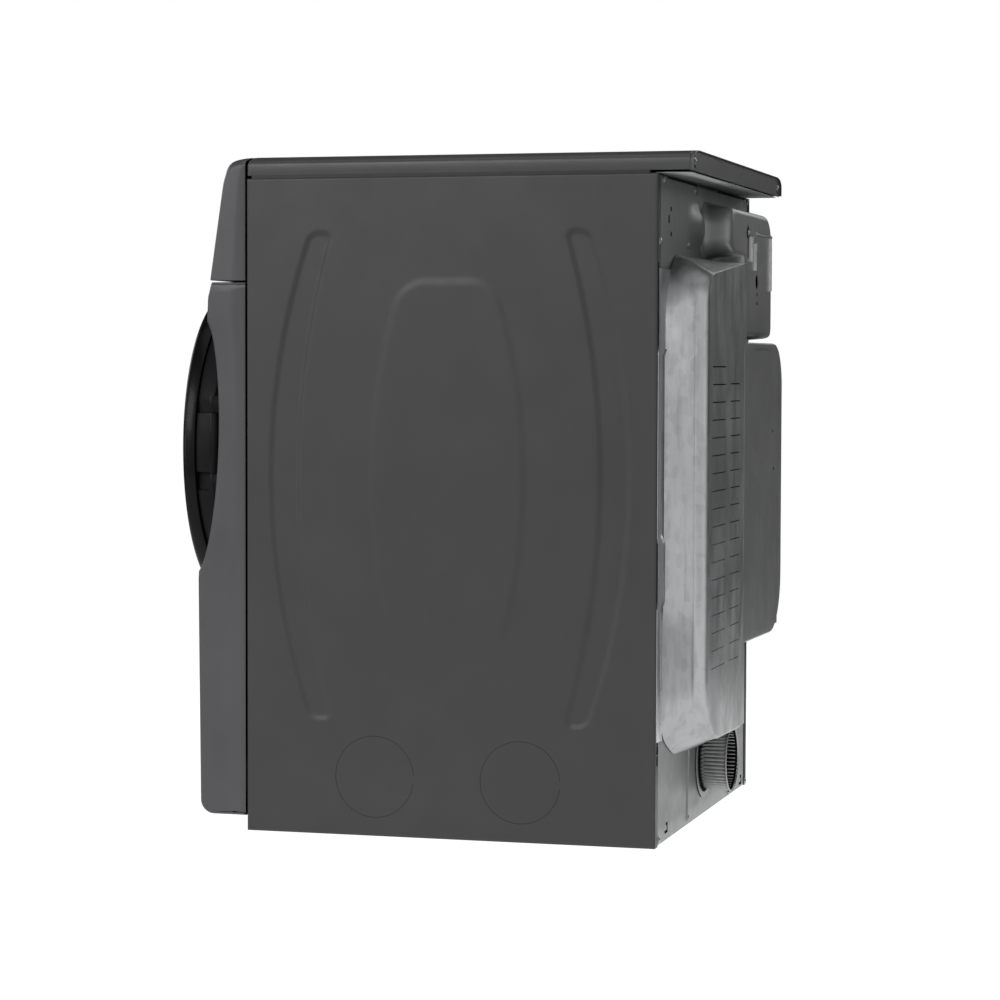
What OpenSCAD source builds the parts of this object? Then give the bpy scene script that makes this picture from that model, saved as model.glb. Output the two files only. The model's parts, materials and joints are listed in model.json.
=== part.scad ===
// Front-loading electric clothes dryer, 27-inch class.
// The frame: +X is the machine's hinge side, -Y is the front, +Z is up, the origin is on the floor.
// Inside the modules, y = 0 is the rear edge of the side panels and z = 0 is their bottom edge.

/* [Cabinet] */
// Width over the side panels
cabinet_w = 686; // [676:2:700]
// Height of the side panels
side_h = 950.3; // [940:5:970]
// Depth of the side panels
side_d = 611; // [600:1:616]
// Thickness of the steel sheet
sheet = 1; // [0.8:0.1:1.2]
// How far the levelling feet stand below the side panels
foot_gap = 3; // [2:1:8]

/* [Drum] */
// Outer radius of the drum
drum_r = 317; // [300:1:318]
// Height of the drum axis above the bottom edge of the side panels
axis_z = 554; // [552:1:558]

/* [Door] */
// Outer radius of the door ring
door_r = 244; // [238:1:246]
// Radius of the clear opening in the front panel
opening_r = 212; // [208:1:214]

/* [Exhaust] */
// Outer radius of the exhaust duct
exhaust_r = 50; // [46:1:52]
// How far the exhaust duct reaches behind the cabinet
exhaust_out = 44.4; // [30:1:55]

/* [Hidden] */
$fn = 96;

half_w = cabinet_w / 2;
front_y = -side_d;
duct_cover_y = 67;
door_rim_y = -751;
door_dome = 11;
front_most = -(door_rim_y - door_dome);
back_y = (front_most - duct_cover_y) / 2;

// Fascia of the control panel: foot of the slope, and its lean
fascia_y = -668.7;
fascia_z = 803;
lean = 8.3;
fascia_rise = 165;

// Door and hinge
door_back_y = -697;
glass_r = 178;
hinge_x = 256;
hinge_y = -694;
hinge_pin_r = 3;
running_fit = 0.05;

// Machinery below the drum
motor_x = -140;
motor_z = 112;
shaft_r = 6;
belt_y = -225;
belt_w = 14;
belt_t = 4;
gap = 0.4;
idler_x = -92;
idler_z = 130;
idler_r = 20;
pulley_r = 14;
arm_pivot_x = -100;
arm_pivot_z = 50;
motor_r = 62;
blower_r = 96;
duct_start_y = -468;
roller_r = 35;
roller_angle = 36;
roller_y = -70;

// Feet
foot_x = 300;
foot_front_y = -570;
foot_rear_y = -42;
pan_z = 10;
stud_r = 5;

steel = [0.29, 0.29, 0.295];
shell_grey = [0.36, 0.36, 0.37];
galvanised = [0.62, 0.63, 0.64];
black = [0.06, 0.06, 0.06];
dark_grey = [0.17, 0.17, 0.175];

module place() {
    translate([0, back_y, foot_gap]) children();
}

module box(low, high) {
    translate(low) cube(high - low);
}

module along_x(x0, x1) {
    translate([x0, 0, 0]) rotate([90, 0, 90]) linear_extrude(x1 - x0) children();
}

module along_y(y0, y1) {
    translate([0, y1, 0]) rotate([90, 0, 0]) linear_extrude(y1 - y0) children();
}

module disc(r, y0, y1, x = 0, z = 0) {
    translate([x, y1, z]) rotate([90, 0, 0]) cylinder(r = r, h = y1 - y0);
}

module ring(r_out, r_in, y0, y1, x = 0, z = 0) {
    difference() {
        disc(r_out, y0, y1, x, z);
        disc(r_in, y0 - 1, y1 + 1, x, z);
    }
}

// A profile of [radius, -y] points turned about the drum's axis
module about_axis(z = axis_z) {
    translate([0, 0, z]) rotate([90, 0, 0]) rotate_extrude() children();
}

// A rectangle with round corners, as squares and circles
module round_rect(x0, x1, z0, z1, r) {
    translate([x0 + r, z0]) square([x1 - x0 - 2 * r, z1 - z0]);
    translate([x0, z0 + r]) square([x1 - x0, z1 - z0 - 2 * r]);
    for (x = [x0 + r, x1 - r], z = [z0 + r, z1 - r]) translate([x, z]) circle(r);
}

// A pressed tray with its open side towards the cabinet
module pressed_tray(x0, x1, z0, z1, r, y0, y1) {
    difference() {
        along_y(y0, y1) round_rect(x0, x1, z0, z1, r);
        along_y(y0 - 1, y1 - sheet) round_rect(x0 + sheet, x1 - sheet, z0 + sheet, z1 - sheet, r - sheet);
    }
}

// Children stand on the sloping fascia: local x is X, local y runs up the slope, local z points out
module on_fascia(x, up) {
    translate([x, fascia_y + up * sin(lean), fascia_z + up * cos(lean)]) rotate([90 - lean, 0, 0]) children();
}

/* Cabinet */

// Crescent rib pressed into a side panel, as a flat piece between two arcs
module crescent(side) {
    rib_mid_y = -307;
    rib_mid_z = 520;
    rib_half_h = 351;
    outer_at = 267;
    inner_at = 225;
    outer_curve = 1050;
    inner_curve = 1250;
    intersection() {
        translate([rib_mid_y + side * (outer_at - outer_curve), rib_mid_z]) circle(outer_curve, $fn = 360);
        difference() {
            translate([rib_mid_y - 300, rib_mid_z - rib_half_h]) square([600, 2 * rib_half_h]);
            translate([rib_mid_y + side * (inner_at - inner_curve), rib_mid_z])
                circle(inner_curve, $fn = 360);
        }
    }
}

module side_panel() {
    flange = 20;
    knockout_r = 59;
    press = 0.6;
    difference() {
        union() {
            box([half_w - sheet, front_y, 0], [half_w, 0, side_h]);
            box([half_w - flange, front_y, 24], [half_w, front_y + sheet, side_h]);
            box([half_w - flange, -sheet, 6], [half_w, 0, side_h]);
            box([half_w - flange, front_y, side_h - sheet], [half_w, 0, side_h]);
        }
        for (side = [-1, 1]) along_x(half_w - press, half_w + 1) crescent(side);
        for (y = [-415.3, -197.4]) {
            translate([half_w + 1, y, 86]) rotate([0, -90, 0]) difference() {
                cylinder(r = knockout_r, h = 1 + press);
                cylinder(r = knockout_r - 1.2, h = 1 + press);
            }
        }
        for (z = [128, 140, 152]) box([half_w - 16, -3, z], [half_w - 10, 1, z + 7]);
    }
}

module side_panel_right() {
    color(steel) place() side_panel();
}

module side_panel_left() {
    color(steel) place() mirror([1, 0, 0]) side_panel();
}

// Cross-section of the lid: straight flanges and soft shoulders
module lid_outline(inset) {
    low = 954.4;
    flange_top = 970;
    top = 983;
    shoulder = 40;
    steps = 6;
    w = half_w - inset;
    right = [for (i = [0 : steps]) let (a = 90 * i / steps)
        [w - shoulder * (1 - cos(a)), flange_top + (top - inset - flange_top) * sin(a)]];
    left = [for (i = [steps : -1 : 0]) [-right[i][0], right[i][1]]];
    polygon(concat([[w, low - inset]], right, left, [[-w, low - inset]]));
}

module top_panel() {
    overhang = 52;
    front_edge = front_y + 2;
    color(steel) place() difference() {
        along_y(front_edge, overhang) lid_outline(0);
        along_y(front_edge + sheet, overhang + 1) lid_outline(sheet);
    }
}

module lid_spacers() {
    color(black) place() for (side = [-1, 1]) {
        x0 = side > 0 ? half_w - 15 : -half_w + sheet;
        box([x0, front_y + 8, side_h], [x0 + 14, -12, side_h + 12]);
    }
}

module top_rear_plate() {
    color(steel) place() difference() {
        intersection() {
            along_y(50, 51) lid_outline(sheet);
            box([-half_w, 49, 955], [half_w, 53, 990]);
        }
        for (side = [-1, 1]) disc(2, 48, 54, side * 322, 964);
        for (side = [-1, 1]) disc(5, 48, 54, side * 306, 963);
    }
}

// A welded corner bracket with the clearance bore for a foot's stud
module foot_boss() {
    difference() {
        union() {
            translate([-24, -24, 0]) cube([48, 48, 3]);
            cylinder(r = 11, h = 22);
        }
        translate([0, 0, -9]) cylinder(r = stud_r + running_fit, h = 40);
    }
}

module base_pan() {
    rim = 30;
    w = half_w - sheet - 0.5;
    color(galvanised) place() {
        difference() {
            box([-w, front_y + 3, pan_z], [w, -3, pan_z + rim]);
            box([-w + sheet, front_y + 3 + sheet, pan_z + sheet], [w - sheet, -3 - sheet, pan_z + rim + 1]);
            for (x = [-foot_x, foot_x], y = [foot_front_y, foot_rear_y]) {
                translate([x, y, 0]) cylinder(r = stud_r + 2, h = 40);
            }
            for (i = [-2 : 2]) box([i * 80 - 25, -420, pan_z - 1], [i * 80 + 25, -410, pan_z + 5]);
            for (side = [-1, 1]) box([side * 248 - 9, -4 - sheet, 17], [side * 248 + 9, 1, 27]);
            disc(exhaust_r + 4, -20, 10, 0, exhaust_z);
        }
        for (x = [-foot_x, foot_x], y = [foot_front_y, foot_rear_y]) {
            translate([x, y, pan_z + sheet]) foot_boss();
        }
    }
}

module rear_panel() {
    w = half_w - 2.5;
    color(steel) place() difference() {
        box([-w, -2 * sheet, 1.5], [w, -sheet, side_h - 1.5]);
        along_y(-3, 1) round_rect(-40, 280, 260, 800, 40);
        disc(14, -3, 1, -195, 845);
        disc(exhaust_r + 2, -5, 5, 0, exhaust_z);
        for (side = [-1, 1], i = [0 : 6]) {
            box([side * 185 + 26 * (i - 3) - 9, -3, 936], [side * 185 + 26 * (i - 3) + 9, 1, 940]);
        }
        for (i = [0 : 3]) box([232 + i * 10, -3, 904 - 12 * i], [237 + i * 10, 1, 910 - 12 * i]);
        for (x = [-296, 263]) {
            box([x - 9, -3, 5], [x + 9, 1, 9]);
            box([x - 9, -3, 5], [x - 5, 1, 20]);
        }
    }
}

module drum_rear_cover() {
    face_y = 59;
    slit_h = 2;
    pitch = 25.5;
    first_z = 679;
    rows = 18;
    color(galvanised) place() difference() {
        union() {
            pressed_tray(-60, 300, 150, 829, 45, -sheet, face_y);
            difference() {
                along_y(-sheet, 0) round_rect(-70, 310, 141, 838, 50);
                along_y(-3, 3) round_rect(-50, 290, 160, 819, 40);
            }
        }
        for (i = [0 : rows - 1]) {
            z = first_z - pitch * i;
            box([143, face_y - 3, z], [240, face_y + 1, z + slit_h]);
            if (i > 0) box([33, face_y - 3, z], [108, face_y + 1, z + slit_h]);
        }
        box([-71, -2, 262], [4, face_y + 1, 717]);
        disc(exhaust_r + 12, -3, 10, 0, exhaust_z);
    }
}

module rear_duct_cover() {
    color(dark_grey) place() {
        pressed_tray(-283, 3, 262.5, 716.5, 45, -sheet, duct_cover_y);
        difference() {
            along_y(-sheet, 0) round_rect(-295, 2.5, 263, 716, 40);
            along_y(-3, 3) round_rect(-270, -10, 280, 700, 30);
        }
    }
}

// The mains terminal box: a tall part beside the drum's cover and an arm reaching over it
module terminal_outline() {
    round_rect(-300, -73, 730, 926, 30);
    round_rect(-140, 38, 844, 926, 30);
}

module terminal_cover() {
    color(steel) place() difference() {
        along_y(-sheet, 44) terminal_outline();
        along_y(-sheet - 1, 44 - sheet) offset(delta = -sheet) terminal_outline();
        for (z = [760, 790, 820]) box([-299, 20, z], [-310, 26, z + 14]);
        disc(11, 40, 50, -174, 812);
        disc(3, 40, 50, -164, 885);
        disc(3, 40, 50, -98, 885);
    }
}

module terminal_block() {
    color([0.12, 0.1, 0.09]) place() difference() {
        box([-240, -sheet, 780], [-150, 22, 830]);
        for (i = [-1 : 1]) box([-207 + i * 28, 12, 784], [-183 + i * 28, 23, 826]);
    }
    color([0.8, 0.65, 0.3]) place() for (i = [-1 : 1]) disc(5, 12, 17, -195 + i * 28, 805);
}

exhaust_z = 87;
duct_wall = 0.8;

module exhaust_spigot() {
    flange_r = exhaust_r + 11;
    color(galvanised) place() difference() {
        union() {
            disc(flange_r, -sheet, 0, 0, exhaust_z);
            disc(exhaust_r, -sheet, exhaust_out, 0, exhaust_z);
        }
        disc(exhaust_r - duct_wall, -5, exhaust_out + 5, 0, exhaust_z);
        for (a = [45 : 90 : 315]) {
            disc(1.5, -3, 3, (exhaust_r + 7) * cos(a), exhaust_z + (exhaust_r + 7) * sin(a));
        }
    }
}

module exhaust_duct() {
    color(galvanised) place() ring(exhaust_r, exhaust_r - duct_wall, duct_start_y, -1.3, 0, exhaust_z);
}

module rear_screws() {
    spots = [[298, 944], [-322, 945], [328, 855], [136, 857], [324, 60], [-324, 60]];
    color([0.25, 0.25, 0.26]) place() for (s = spots) {
        y = abs(s[0]) > half_w - 22 ? 0 : -sheet;
        disc(5.5, y, y + 3, s[0], s[1]);
    }
}

/* Front and controls */

// Side profile of the lower front panel, with the shallow scoop beside the door
function panel_line(z) = -672 - (779 - z) * 15.4 / 412;
function scoop(z) = 20 * (1 - pow((z - 580) / 200, 2));
bottom_round = [for (a = [180 : 22.5 : 270]) [-664.7 + 20 * cos(a), 41.4 + 20 * sin(a)]];
panel_profile = concat(
    [[-613, 801], [-666.5, 801]],
    [for (z = [780 : -20 : 380]) [panel_line(z) + scoop(z), z]],
    [[-687.4, 367], [-684.7, 62]], bottom_round, [[-613, 21.4]]);

module panel_solid(inset) {
    along_x(-half_w + inset, half_w - inset) polygon(panel_profile);
}

module front_panel() {
    wall = 1.2;
    color(shell_grey) place() difference() {
        union() {
            difference() {
                panel_solid(0);
                intersection() {
                    translate([0, wall, 0]) panel_solid(wall);
                    box([-half_w, -700, 21.4 + wall], [half_w, -600, 801 - wall]);
                }
            }
            intersection() {
                ring(opening_r + wall, opening_r - 1, -700, -655, 0, axis_z);
                panel_solid(0);
            }
        }
        disc(opening_r, -700, -600, 0, axis_z);
        box([-233, -700, axis_z - 10], [-223, -630, axis_z + 10]);
    }
}

joint_gap = 0.5;
panel_top = [
    [-613, fascia_z + joint_gap], [fascia_y + joint_gap * tan(lean), fascia_z + joint_gap],
    [fascia_y + fascia_rise * tan(lean), fascia_z + fascia_rise],
    [-641, 974.5], [-635, 979], [-626, 981.5], [-613, 982.5]];

module control_solid(inset) {
    intersection() {
        along_x(-half_w + inset, half_w - inset) polygon(panel_top);
        along_y(-700, -600) union() {
            lid_outline(inset);
            translate([-half_w, 800]) square([cabinet_w, 156]);
        }
    }
}

knob_x = 0;
row_up = 84;
power_x = -285;
option_x = [-215, -160, -105];
option_size = [38, 13];
round_button_r = 14;

// Openings through the panel and its insert for the knob's shaft and the buttons
module control_cuts(low, high) {
    clear = 0.5;
    on_fascia(knob_x, row_up) translate([0, 0, low]) cylinder(r = 8, h = high - low);
    for (x = [power_x, -power_x]) {
        on_fascia(x, row_up) translate([0, 0, low]) cylinder(r = round_button_r + clear, h = high - low);
    }
    for (x = option_x) {
        on_fascia(x, row_up) translate([-option_size[0] / 2 - clear, -option_size[1] / 2 - clear, low])
            cube([option_size[0] + 2 * clear, option_size[1] + 2 * clear, high - low]);
    }
}

module control_panel() {
    wall = 3;
    color(shell_grey) place() difference() {
        control_solid(0);
        intersection() {
            translate([0, wall, -wall]) control_solid(wall);
            box([-half_w, -700, 803.5 + wall], [half_w, -600, 990]);
        }
        control_cuts(-12, 5);
    }
}

module fascia_insert() {
    color(black) place() difference() {
        on_fascia(0, 30) translate([-312, 0, 0.05]) cube([624, 108, 1.55]);
        control_cuts(-5, 5);
    }
}

module display_window() {
    color([0.02, 0.03, 0.05]) place() on_fascia(0, 60) translate([66, 0, 1.6]) cube([160, 48, 0.8]);
}

module control_board() {
    color([0.05, 0.3, 0.12]) place() {
        on_fascia(0, 36) translate([-232, 0, -22]) cube([470, 96, 2]);
        on_fascia(knob_x, row_up) translate([-12, -12, -20]) cube([24, 24, 9]);
        on_fascia(150, row_up) translate([-70, -20, -20]) cube([140, 40, 12]);
    }
}

module knob() {
    r = 31;
    color([0.55, 0.55, 0.56]) place() on_fascia(knob_x, row_up) {
        translate([0, 0, -10.5]) cylinder(r = 5, h = 14);
        translate([0, 0, 2.2]) cylinder(r = r + 2, h = 3);
        difference() {
            translate([0, 0, 5.2]) cylinder(r1 = r, r2 = r - 2, h = 21);
            translate([-1, r - 10, 24]) cube([2, 12, 4]);
        }
    }
}

module round_button(x) {
    on_fascia(x, row_up) translate([0, 0, -6]) cylinder(r = round_button_r, h = 10.6);
}

module power_button() {
    color(dark_grey) place() round_button(power_x);
}

module start_button() {
    color(dark_grey) place() round_button(-power_x);
}

module option_button(i) {
    color(dark_grey) place() on_fascia(option_x[i], row_up)
        translate([-option_size[0] / 2, -option_size[1] / 2, -6])
            cube([option_size[0], option_size[1], 9.8]);
}

module option_button_1() {
    option_button(0);
}

module option_button_2() {
    option_button(1);
}

module option_button_3() {
    option_button(2);
}

/* Drum and air path */

throat_in = 204;
throat_out = 208;
collar_in = 308.5;
collar_out = 309.5;
felt_out = drum_r - sheet - 0.3;

module front_bulkhead() {
    color(galvanised) place() difference() {
        union() {
            box([-335, -600, 45], [335, -599, 940]);
            ring(collar_out, collar_in, -599.5, -560, 0, axis_z);
        }
        disc(throat_out + 0.3, -610, -590, 0, axis_z);
        disc(56, -610, -590, motor_x, motor_z);
    }
}

module front_throat() {
    color([0.75, 0.75, 0.74]) place() difference() {
        union() {
            ring(throat_out, throat_in, -655, -597, 0, axis_z);
            ring(throat_out + 8, throat_in, -655, -653, 0, axis_z);
        }
        box([-104, -644, 300], [104, -616, 430]);
    }
}

module rear_bulkhead() {
    color(galvanised) place() difference() {
        union() {
            box([-335, -23, 180], [335, -22, 905]);
            ring(collar_out, collar_in, -60, -22.5, 0, axis_z);
        }
        for (row = [0 : 3], a = [0 : 12 : 348]) {
            reach = 190 + 26 * row;
            disc(5, -30, -10, reach * cos(a + 6 * row), axis_z + reach * sin(a + 6 * row));
        }
    }
}

module drum() {
    front_end = -592;
    rear_end = -30;
    bead = [for (y = [-450, -330, -120]) y];
    color([0.78, 0.78, 0.78]) place() difference() {
        ring(drum_r, drum_r - sheet, front_end, rear_end, 0, axis_z);
        for (y = bead) about_axis() polygon([
            [drum_r - 0.4, -y - 3], [drum_r + 1, -y - 3], [drum_r + 1, -y + 3], [drum_r - 0.4, -y + 3]]);
    }
}

module drum_baffles() {
    baffle_h = 62;
    root = 30;
    top_half = 12;
    y0 = -545;
    y1 = -75;
    color([0.7, 0.7, 0.7]) place() intersection() {
        disc(drum_r - sheet - 0.2, y0 - 1, y1 + 1, 0, axis_z);
        for (a = [0, 120, 240]) translate([0, 0, axis_z]) rotate([0, a, 0]) along_y(y0, y1) polygon([
            [-root, -drum_r], [root, -drum_r],
            [top_half, -drum_r + baffle_h], [-top_half, -drum_r + baffle_h]]);
    }
}

module felt_seals() {
    color([0.45, 0.42, 0.38]) place() {
        ring(felt_out, collar_out, -597, -563, 0, axis_z);
        ring(felt_out, collar_out, -57, -25, 0, axis_z);
    }
}

roller_reach = drum_r + gap + roller_r;
roller_x = roller_reach * sin(roller_angle);
roller_z = axis_z - roller_reach * cos(roller_angle);

module roller(side) {
    color([0.2, 0.2, 0.2]) place() ring(roller_r, stud_r + running_fit, roller_y - 12, roller_y + 12,
        side * roller_x, roller_z);
}

module roller_right() {
    roller(1);
}

module roller_left() {
    roller(-1);
}

module roller_shafts() {
    color(galvanised) place() for (side = [-1, 1]) {
        disc(stud_r, roller_y - 20, -23, side * roller_x, roller_z);
        disc(stud_r + 5, roller_y + 13, roller_y + 16, side * roller_x, roller_z);
        disc(stud_r + 5, roller_y - 17, roller_y - 14, side * roller_x, roller_z);
    }
}

// The belt's loop round the drum, the motor pulley and the idler, grown by an amount
module belt_loop(grow) {
    hull() {
        translate([0, axis_z]) circle(drum_r + grow);
        translate([motor_x, motor_z]) circle(pulley_r + grow, $fn = 32);
        translate([idler_x, idler_z]) circle(idler_r + grow, $fn = 32);
    }
}

module drum_belt() {
    color(black) place() along_y(belt_y - belt_w / 2, belt_y + belt_w / 2) difference() {
        belt_loop(gap + 0.4 + belt_t);
        belt_loop(gap + 0.4);
    }
}

module motor() {
    color([0.5, 0.5, 0.51]) place() difference() {
        union() {
            disc(motor_r, -400, -285, motor_x, motor_z);
            disc(motor_r - 12, -412, -262, motor_x, motor_z);
        }
        disc(shaft_r + running_fit, -420, -250, motor_x, motor_z);
        for (a = [0 : 45 : 315]) {
            disc(6, -430, -405, motor_x + 34 * cos(a), motor_z + 34 * sin(a));
            disc(6, -270, -240, motor_x + 34 * cos(a), motor_z + 34 * sin(a));
        }
    }
}

module motor_bracket() {
    floor_z = pan_z + sheet;
    color(galvanised) place() {
        difference() {
            for (y = [-395, -296]) box([motor_x - 66, y, floor_z], [motor_x + 66, y + 6, motor_z - 4]);
            disc(motor_r + 0.3, -410, -270, motor_x, motor_z);
        }
        box([motor_x - 74, -395, floor_z], [motor_x + 74, -290, floor_z + 3]);
        box([arm_pivot_x - 12, -291, floor_z], [arm_pivot_x + 12, -200, floor_z + 3]);
        box([arm_pivot_x - 12, -204, floor_z], [arm_pivot_x + 12, -201, arm_pivot_z + 10]);
        disc(stud_r, -216, -202, arm_pivot_x, arm_pivot_z);
    }
}

module motor_pulley() {
    color(galvanised) place() difference() {
        union() {
            disc(pulley_r, belt_y - 9, belt_y + 9, motor_x, motor_z);
            disc(pulley_r - 3, belt_y - 14, belt_y + 9, motor_x, motor_z);
        }
        disc(shaft_r + running_fit, belt_y - 20, belt_y + 20, motor_x, motor_z);
    }
}

module idler_arm() {
    y0 = -215;
    y1 = -210;
    color(galvanised) place() {
        difference() {
            along_y(y0, y1) hull() {
                translate([arm_pivot_x, arm_pivot_z]) circle(11, $fn = 32);
                translate([idler_x, idler_z]) circle(9, $fn = 32);
            }
            disc(stud_r + running_fit, y0 - 1, y1 + 1, arm_pivot_x, arm_pivot_z);
        }
        disc(4, -238, y0 + 1, idler_x, idler_z);
    }
}

module idler_pulley() {
    color([0.85, 0.85, 0.82]) place()
        ring(idler_r, 4 + running_fit, belt_y - 9, belt_y + 9, idler_x, idler_z);
}

outlet_half = 53;

module blower_shape(inset, y0, y1) {
    disc(blower_r - inset, y0, y1, motor_x, motor_z);
    box([motor_x, y0, exhaust_z - outlet_half + inset],
        [outlet_half - inset, y1, exhaust_z + outlet_half - inset]);
}

module blower_housing() {
    wall = 2;
    color([0.82, 0.82, 0.8]) place() difference() {
        blower_shape(0, -560, -470);
        blower_shape(wall, -560 + wall, -470 - wall);
        disc(50, -565, -555, motor_x, motor_z);
        disc(shaft_r + 3, -480, -465, motor_x, motor_z);
        disc(exhaust_r - 1, -480, -465, 0, exhaust_z);
    }
}

module blower_wheel() {
    wheel_r = 84;
    y0 = -548;
    y1 = -484;
    color([0.3, 0.3, 0.3]) place() {
        disc(wheel_r, y1 - 3, y1, motor_x, motor_z);
        ring(wheel_r, wheel_r - 16, y0, y0 + 3, motor_x, motor_z);
        disc(14, y1 - 26, y1, motor_x, motor_z);
        for (a = [0 : 20 : 340]) translate([motor_x, 0, motor_z]) rotate([0, a, 0])
            box([wheel_r - 16, y0, -1], [wheel_r - 1, y1 - 1, 1]);
        disc(shaft_r, y1 - 2, belt_y + 10, motor_x, motor_z);
    }
}

module filter_shape(inset) {
    box([-112 + inset, -650 + inset, 150 + inset], [112 - inset, -610 - inset, 420]);
    box([motor_x - 60 + inset, -650 + inset, 52 + inset], [112 - inset, -610 - inset, 190 - inset]);
}

module filter_housing() {
    wall = 2.5;
    color([0.8, 0.8, 0.78]) place() difference() {
        union() {
            difference() {
                filter_shape(0);
                filter_shape(wall);
            }
            ring(54, 50, -611, -560, motor_x, motor_z);
        }
        disc(50, -620, -550, motor_x, motor_z);
        disc(throat_out + 8.3, -700, -500, 0, axis_z);
    }
}

module lint_filter() {
    half = 100;
    low = 170;
    window = 60;
    color([0.86, 0.86, 0.84]) place() difference() {
        box([-half, -641, low], [half, -619, 400]);
        box([-half + 4, -637, low + 4], [half - 4, -623, 336]);
        for (i = [-1 : 1], z = [low + 8, low + 88]) {
            box([i * 64 - window / 2, -645, z], [i * 64 + window / 2, -610, z + 74]);
        }
        disc(throat_in, -700, -500, 0, axis_z);
        box([-30, -634, 342], [30, -615, 360]);
    }
}

module heater_housing() {
    color(galvanised) place() difference() {
        box([104, 6, 175], [264, 52, 620]);
        box([105, 7, 174], [263, 51, 621]);
        for (i = [0 : 7]) box([134, 0, 230 + 40 * i], [234, 6.5, 240 + 40 * i]);
    }
}

module heater_coils() {
    rod_r = 3.5;
    low = 200;
    high = 590;
    rods = 6;
    step = 24;
    first_x = 124;
    color([0.4, 0.33, 0.28]) place() {
        for (i = [0 : rods - 1]) translate([first_x + step * i, 29, low]) cylinder(r = rod_r, h = high - low);
        for (i = [0 : rods - 2]) translate([first_x + step * i, 29, i % 2 == 0 ? high : low])
            rotate([0, 90, 0]) cylinder(r = rod_r, h = step);
        for (z = [300, 480]) box([106, 27.5, z], [262, 30.5, z + 8]);
    }
}

module thermostats() {
    color([0.15, 0.12, 0.1]) place() for (z = [250, 540]) {
        disc(9, 52, 57, 184, z);
        box([172, 52, z - 3], [196, 53, z + 3]);
    }
}

/* Door */

function door_y(r) = door_rim_y - door_dome * (1 - pow(r / door_r, 2));

// Heights of the two hinge knuckles on the cabinet
band_low = [494, 518];
band_high = [610, 634];

module door_ring() {
    outer = door_r - 6;
    face = [for (i = [0 : 6]) let (r = outer - i * (outer - glass_r) / 6) [r, -door_y(r)]];
    back_r = door_r - 5;
    band_back = 731;
    color(black) place() difference() {
        about_axis() polygon(concat(
            [[232, -door_back_y], [back_r - 2, -door_back_y], [back_r, -door_back_y + 3], [back_r, band_back],
                [door_r, band_back + 1], [door_r, -door_rim_y - 6]],
            face,
            [[glass_r, -door_y(glass_r) - 9], [222, -door_back_y + 14], [232, -door_back_y + 14]]));
        for (band = [band_low, band_high]) {
            box([225, -band_back - 1, band[0] - 2], [door_r + 1, door_back_y + 1, band[1] + 2]);
        }
    }
}

module door_glass() {
    face = [for (i = [0 : 8]) let (r = (glass_r - 0.3) * (1 - i / 8)) [r, -door_y(r)]];
    back = [for (i = [8 : -1 : 0]) let (r = (glass_r - 0.3) * (1 - i / 8)) [r, -door_y(r) - 5]];
    color([0.05, 0.05, 0.055]) place() about_axis() polygon(concat(face, back));
}

module door_inner_frame() {
    color([0.2, 0.2, 0.205]) place() about_axis() polygon([
        [199, 693], [238, 693], [238, 697], [231.5, 697], [231.5, 706], [199, 706]]);
}

module door_bowl() {
    color([0.5, 0.55, 0.58]) place() about_axis() polygon([
        [0, 646], [165, 646], [197, 692], [197, 706], [192, 706], [192, 693], [162.5, 650], [0, 650]]);
}

module hinge_bracket() {
    knuckle = 7;
    color(black) place() difference() {
        union() {
            box([242, -669, 488], [264, -655, 640]);
            for (band = [band_low, band_high]) {
                box([hinge_x - knuckle, hinge_y, band[0]], [hinge_x + knuckle, -660, band[1]]);
                translate([hinge_x, hinge_y, band[0]]) cylinder(r = knuckle, h = band[1] - band[0]);
            }
        }
        translate([hinge_x, hinge_y, 480]) cylinder(r = hinge_pin_r + running_fit, h = 170);
        panel_solid(0);
    }
}

module hinge_leaf() {
    low = band_low[1] + 1;
    high = band_high[0] - 1;
    color(dark_grey) place() difference() {
        union() {
            translate([hinge_x, hinge_y, low]) cylinder(r = 7, h = high - low);
            box([205, -693, low], [hinge_x, -689, high]);
        }
        translate([hinge_x, hinge_y, low - 1]) cylinder(r = hinge_pin_r + running_fit, h = high - low + 2);
    }
}

module hinge_pin() {
    color(galvanised) place() translate([hinge_x, hinge_y, 490]) cylinder(r = hinge_pin_r, h = 148);
}

module door_strike() {
    color(galvanised) place() {
        box([-230, -693, axis_z - 5], [-226, -651, axis_z + 5]);
        box([-236, -693, axis_z - 12], [-214, -690, axis_z + 12]);
    }
}

module door_latch() {
    color([0.85, 0.85, 0.83]) place() difference() {
        box([-242, -656, axis_z - 18], [-218, -634, axis_z + 18]);
        box([-234, -657, axis_z - 9], [-222, -640, axis_z + 9]);
    }
}

/* Feet */

module foot(x, y) {
    color([0.12, 0.12, 0.12]) place() translate([x, y, 0]) {
        translate([0, 0, -foot_gap]) cylinder(r = 20, h = foot_gap + 6);
        translate([0, 0, 5.9]) cylinder(r = 10, h = 2.6, $fn = 6);
        translate([0, 0, 8]) cylinder(r = stud_r, h = 48);
    }
}

module foot_front_right() {
    foot(foot_x, foot_front_y);
}

module foot_front_left() {
    foot(-foot_x, foot_front_y);
}

module foot_rear_right() {
    foot(foot_x, foot_rear_y);
}

module foot_rear_left() {
    foot(-foot_x, foot_rear_y);
}

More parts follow.
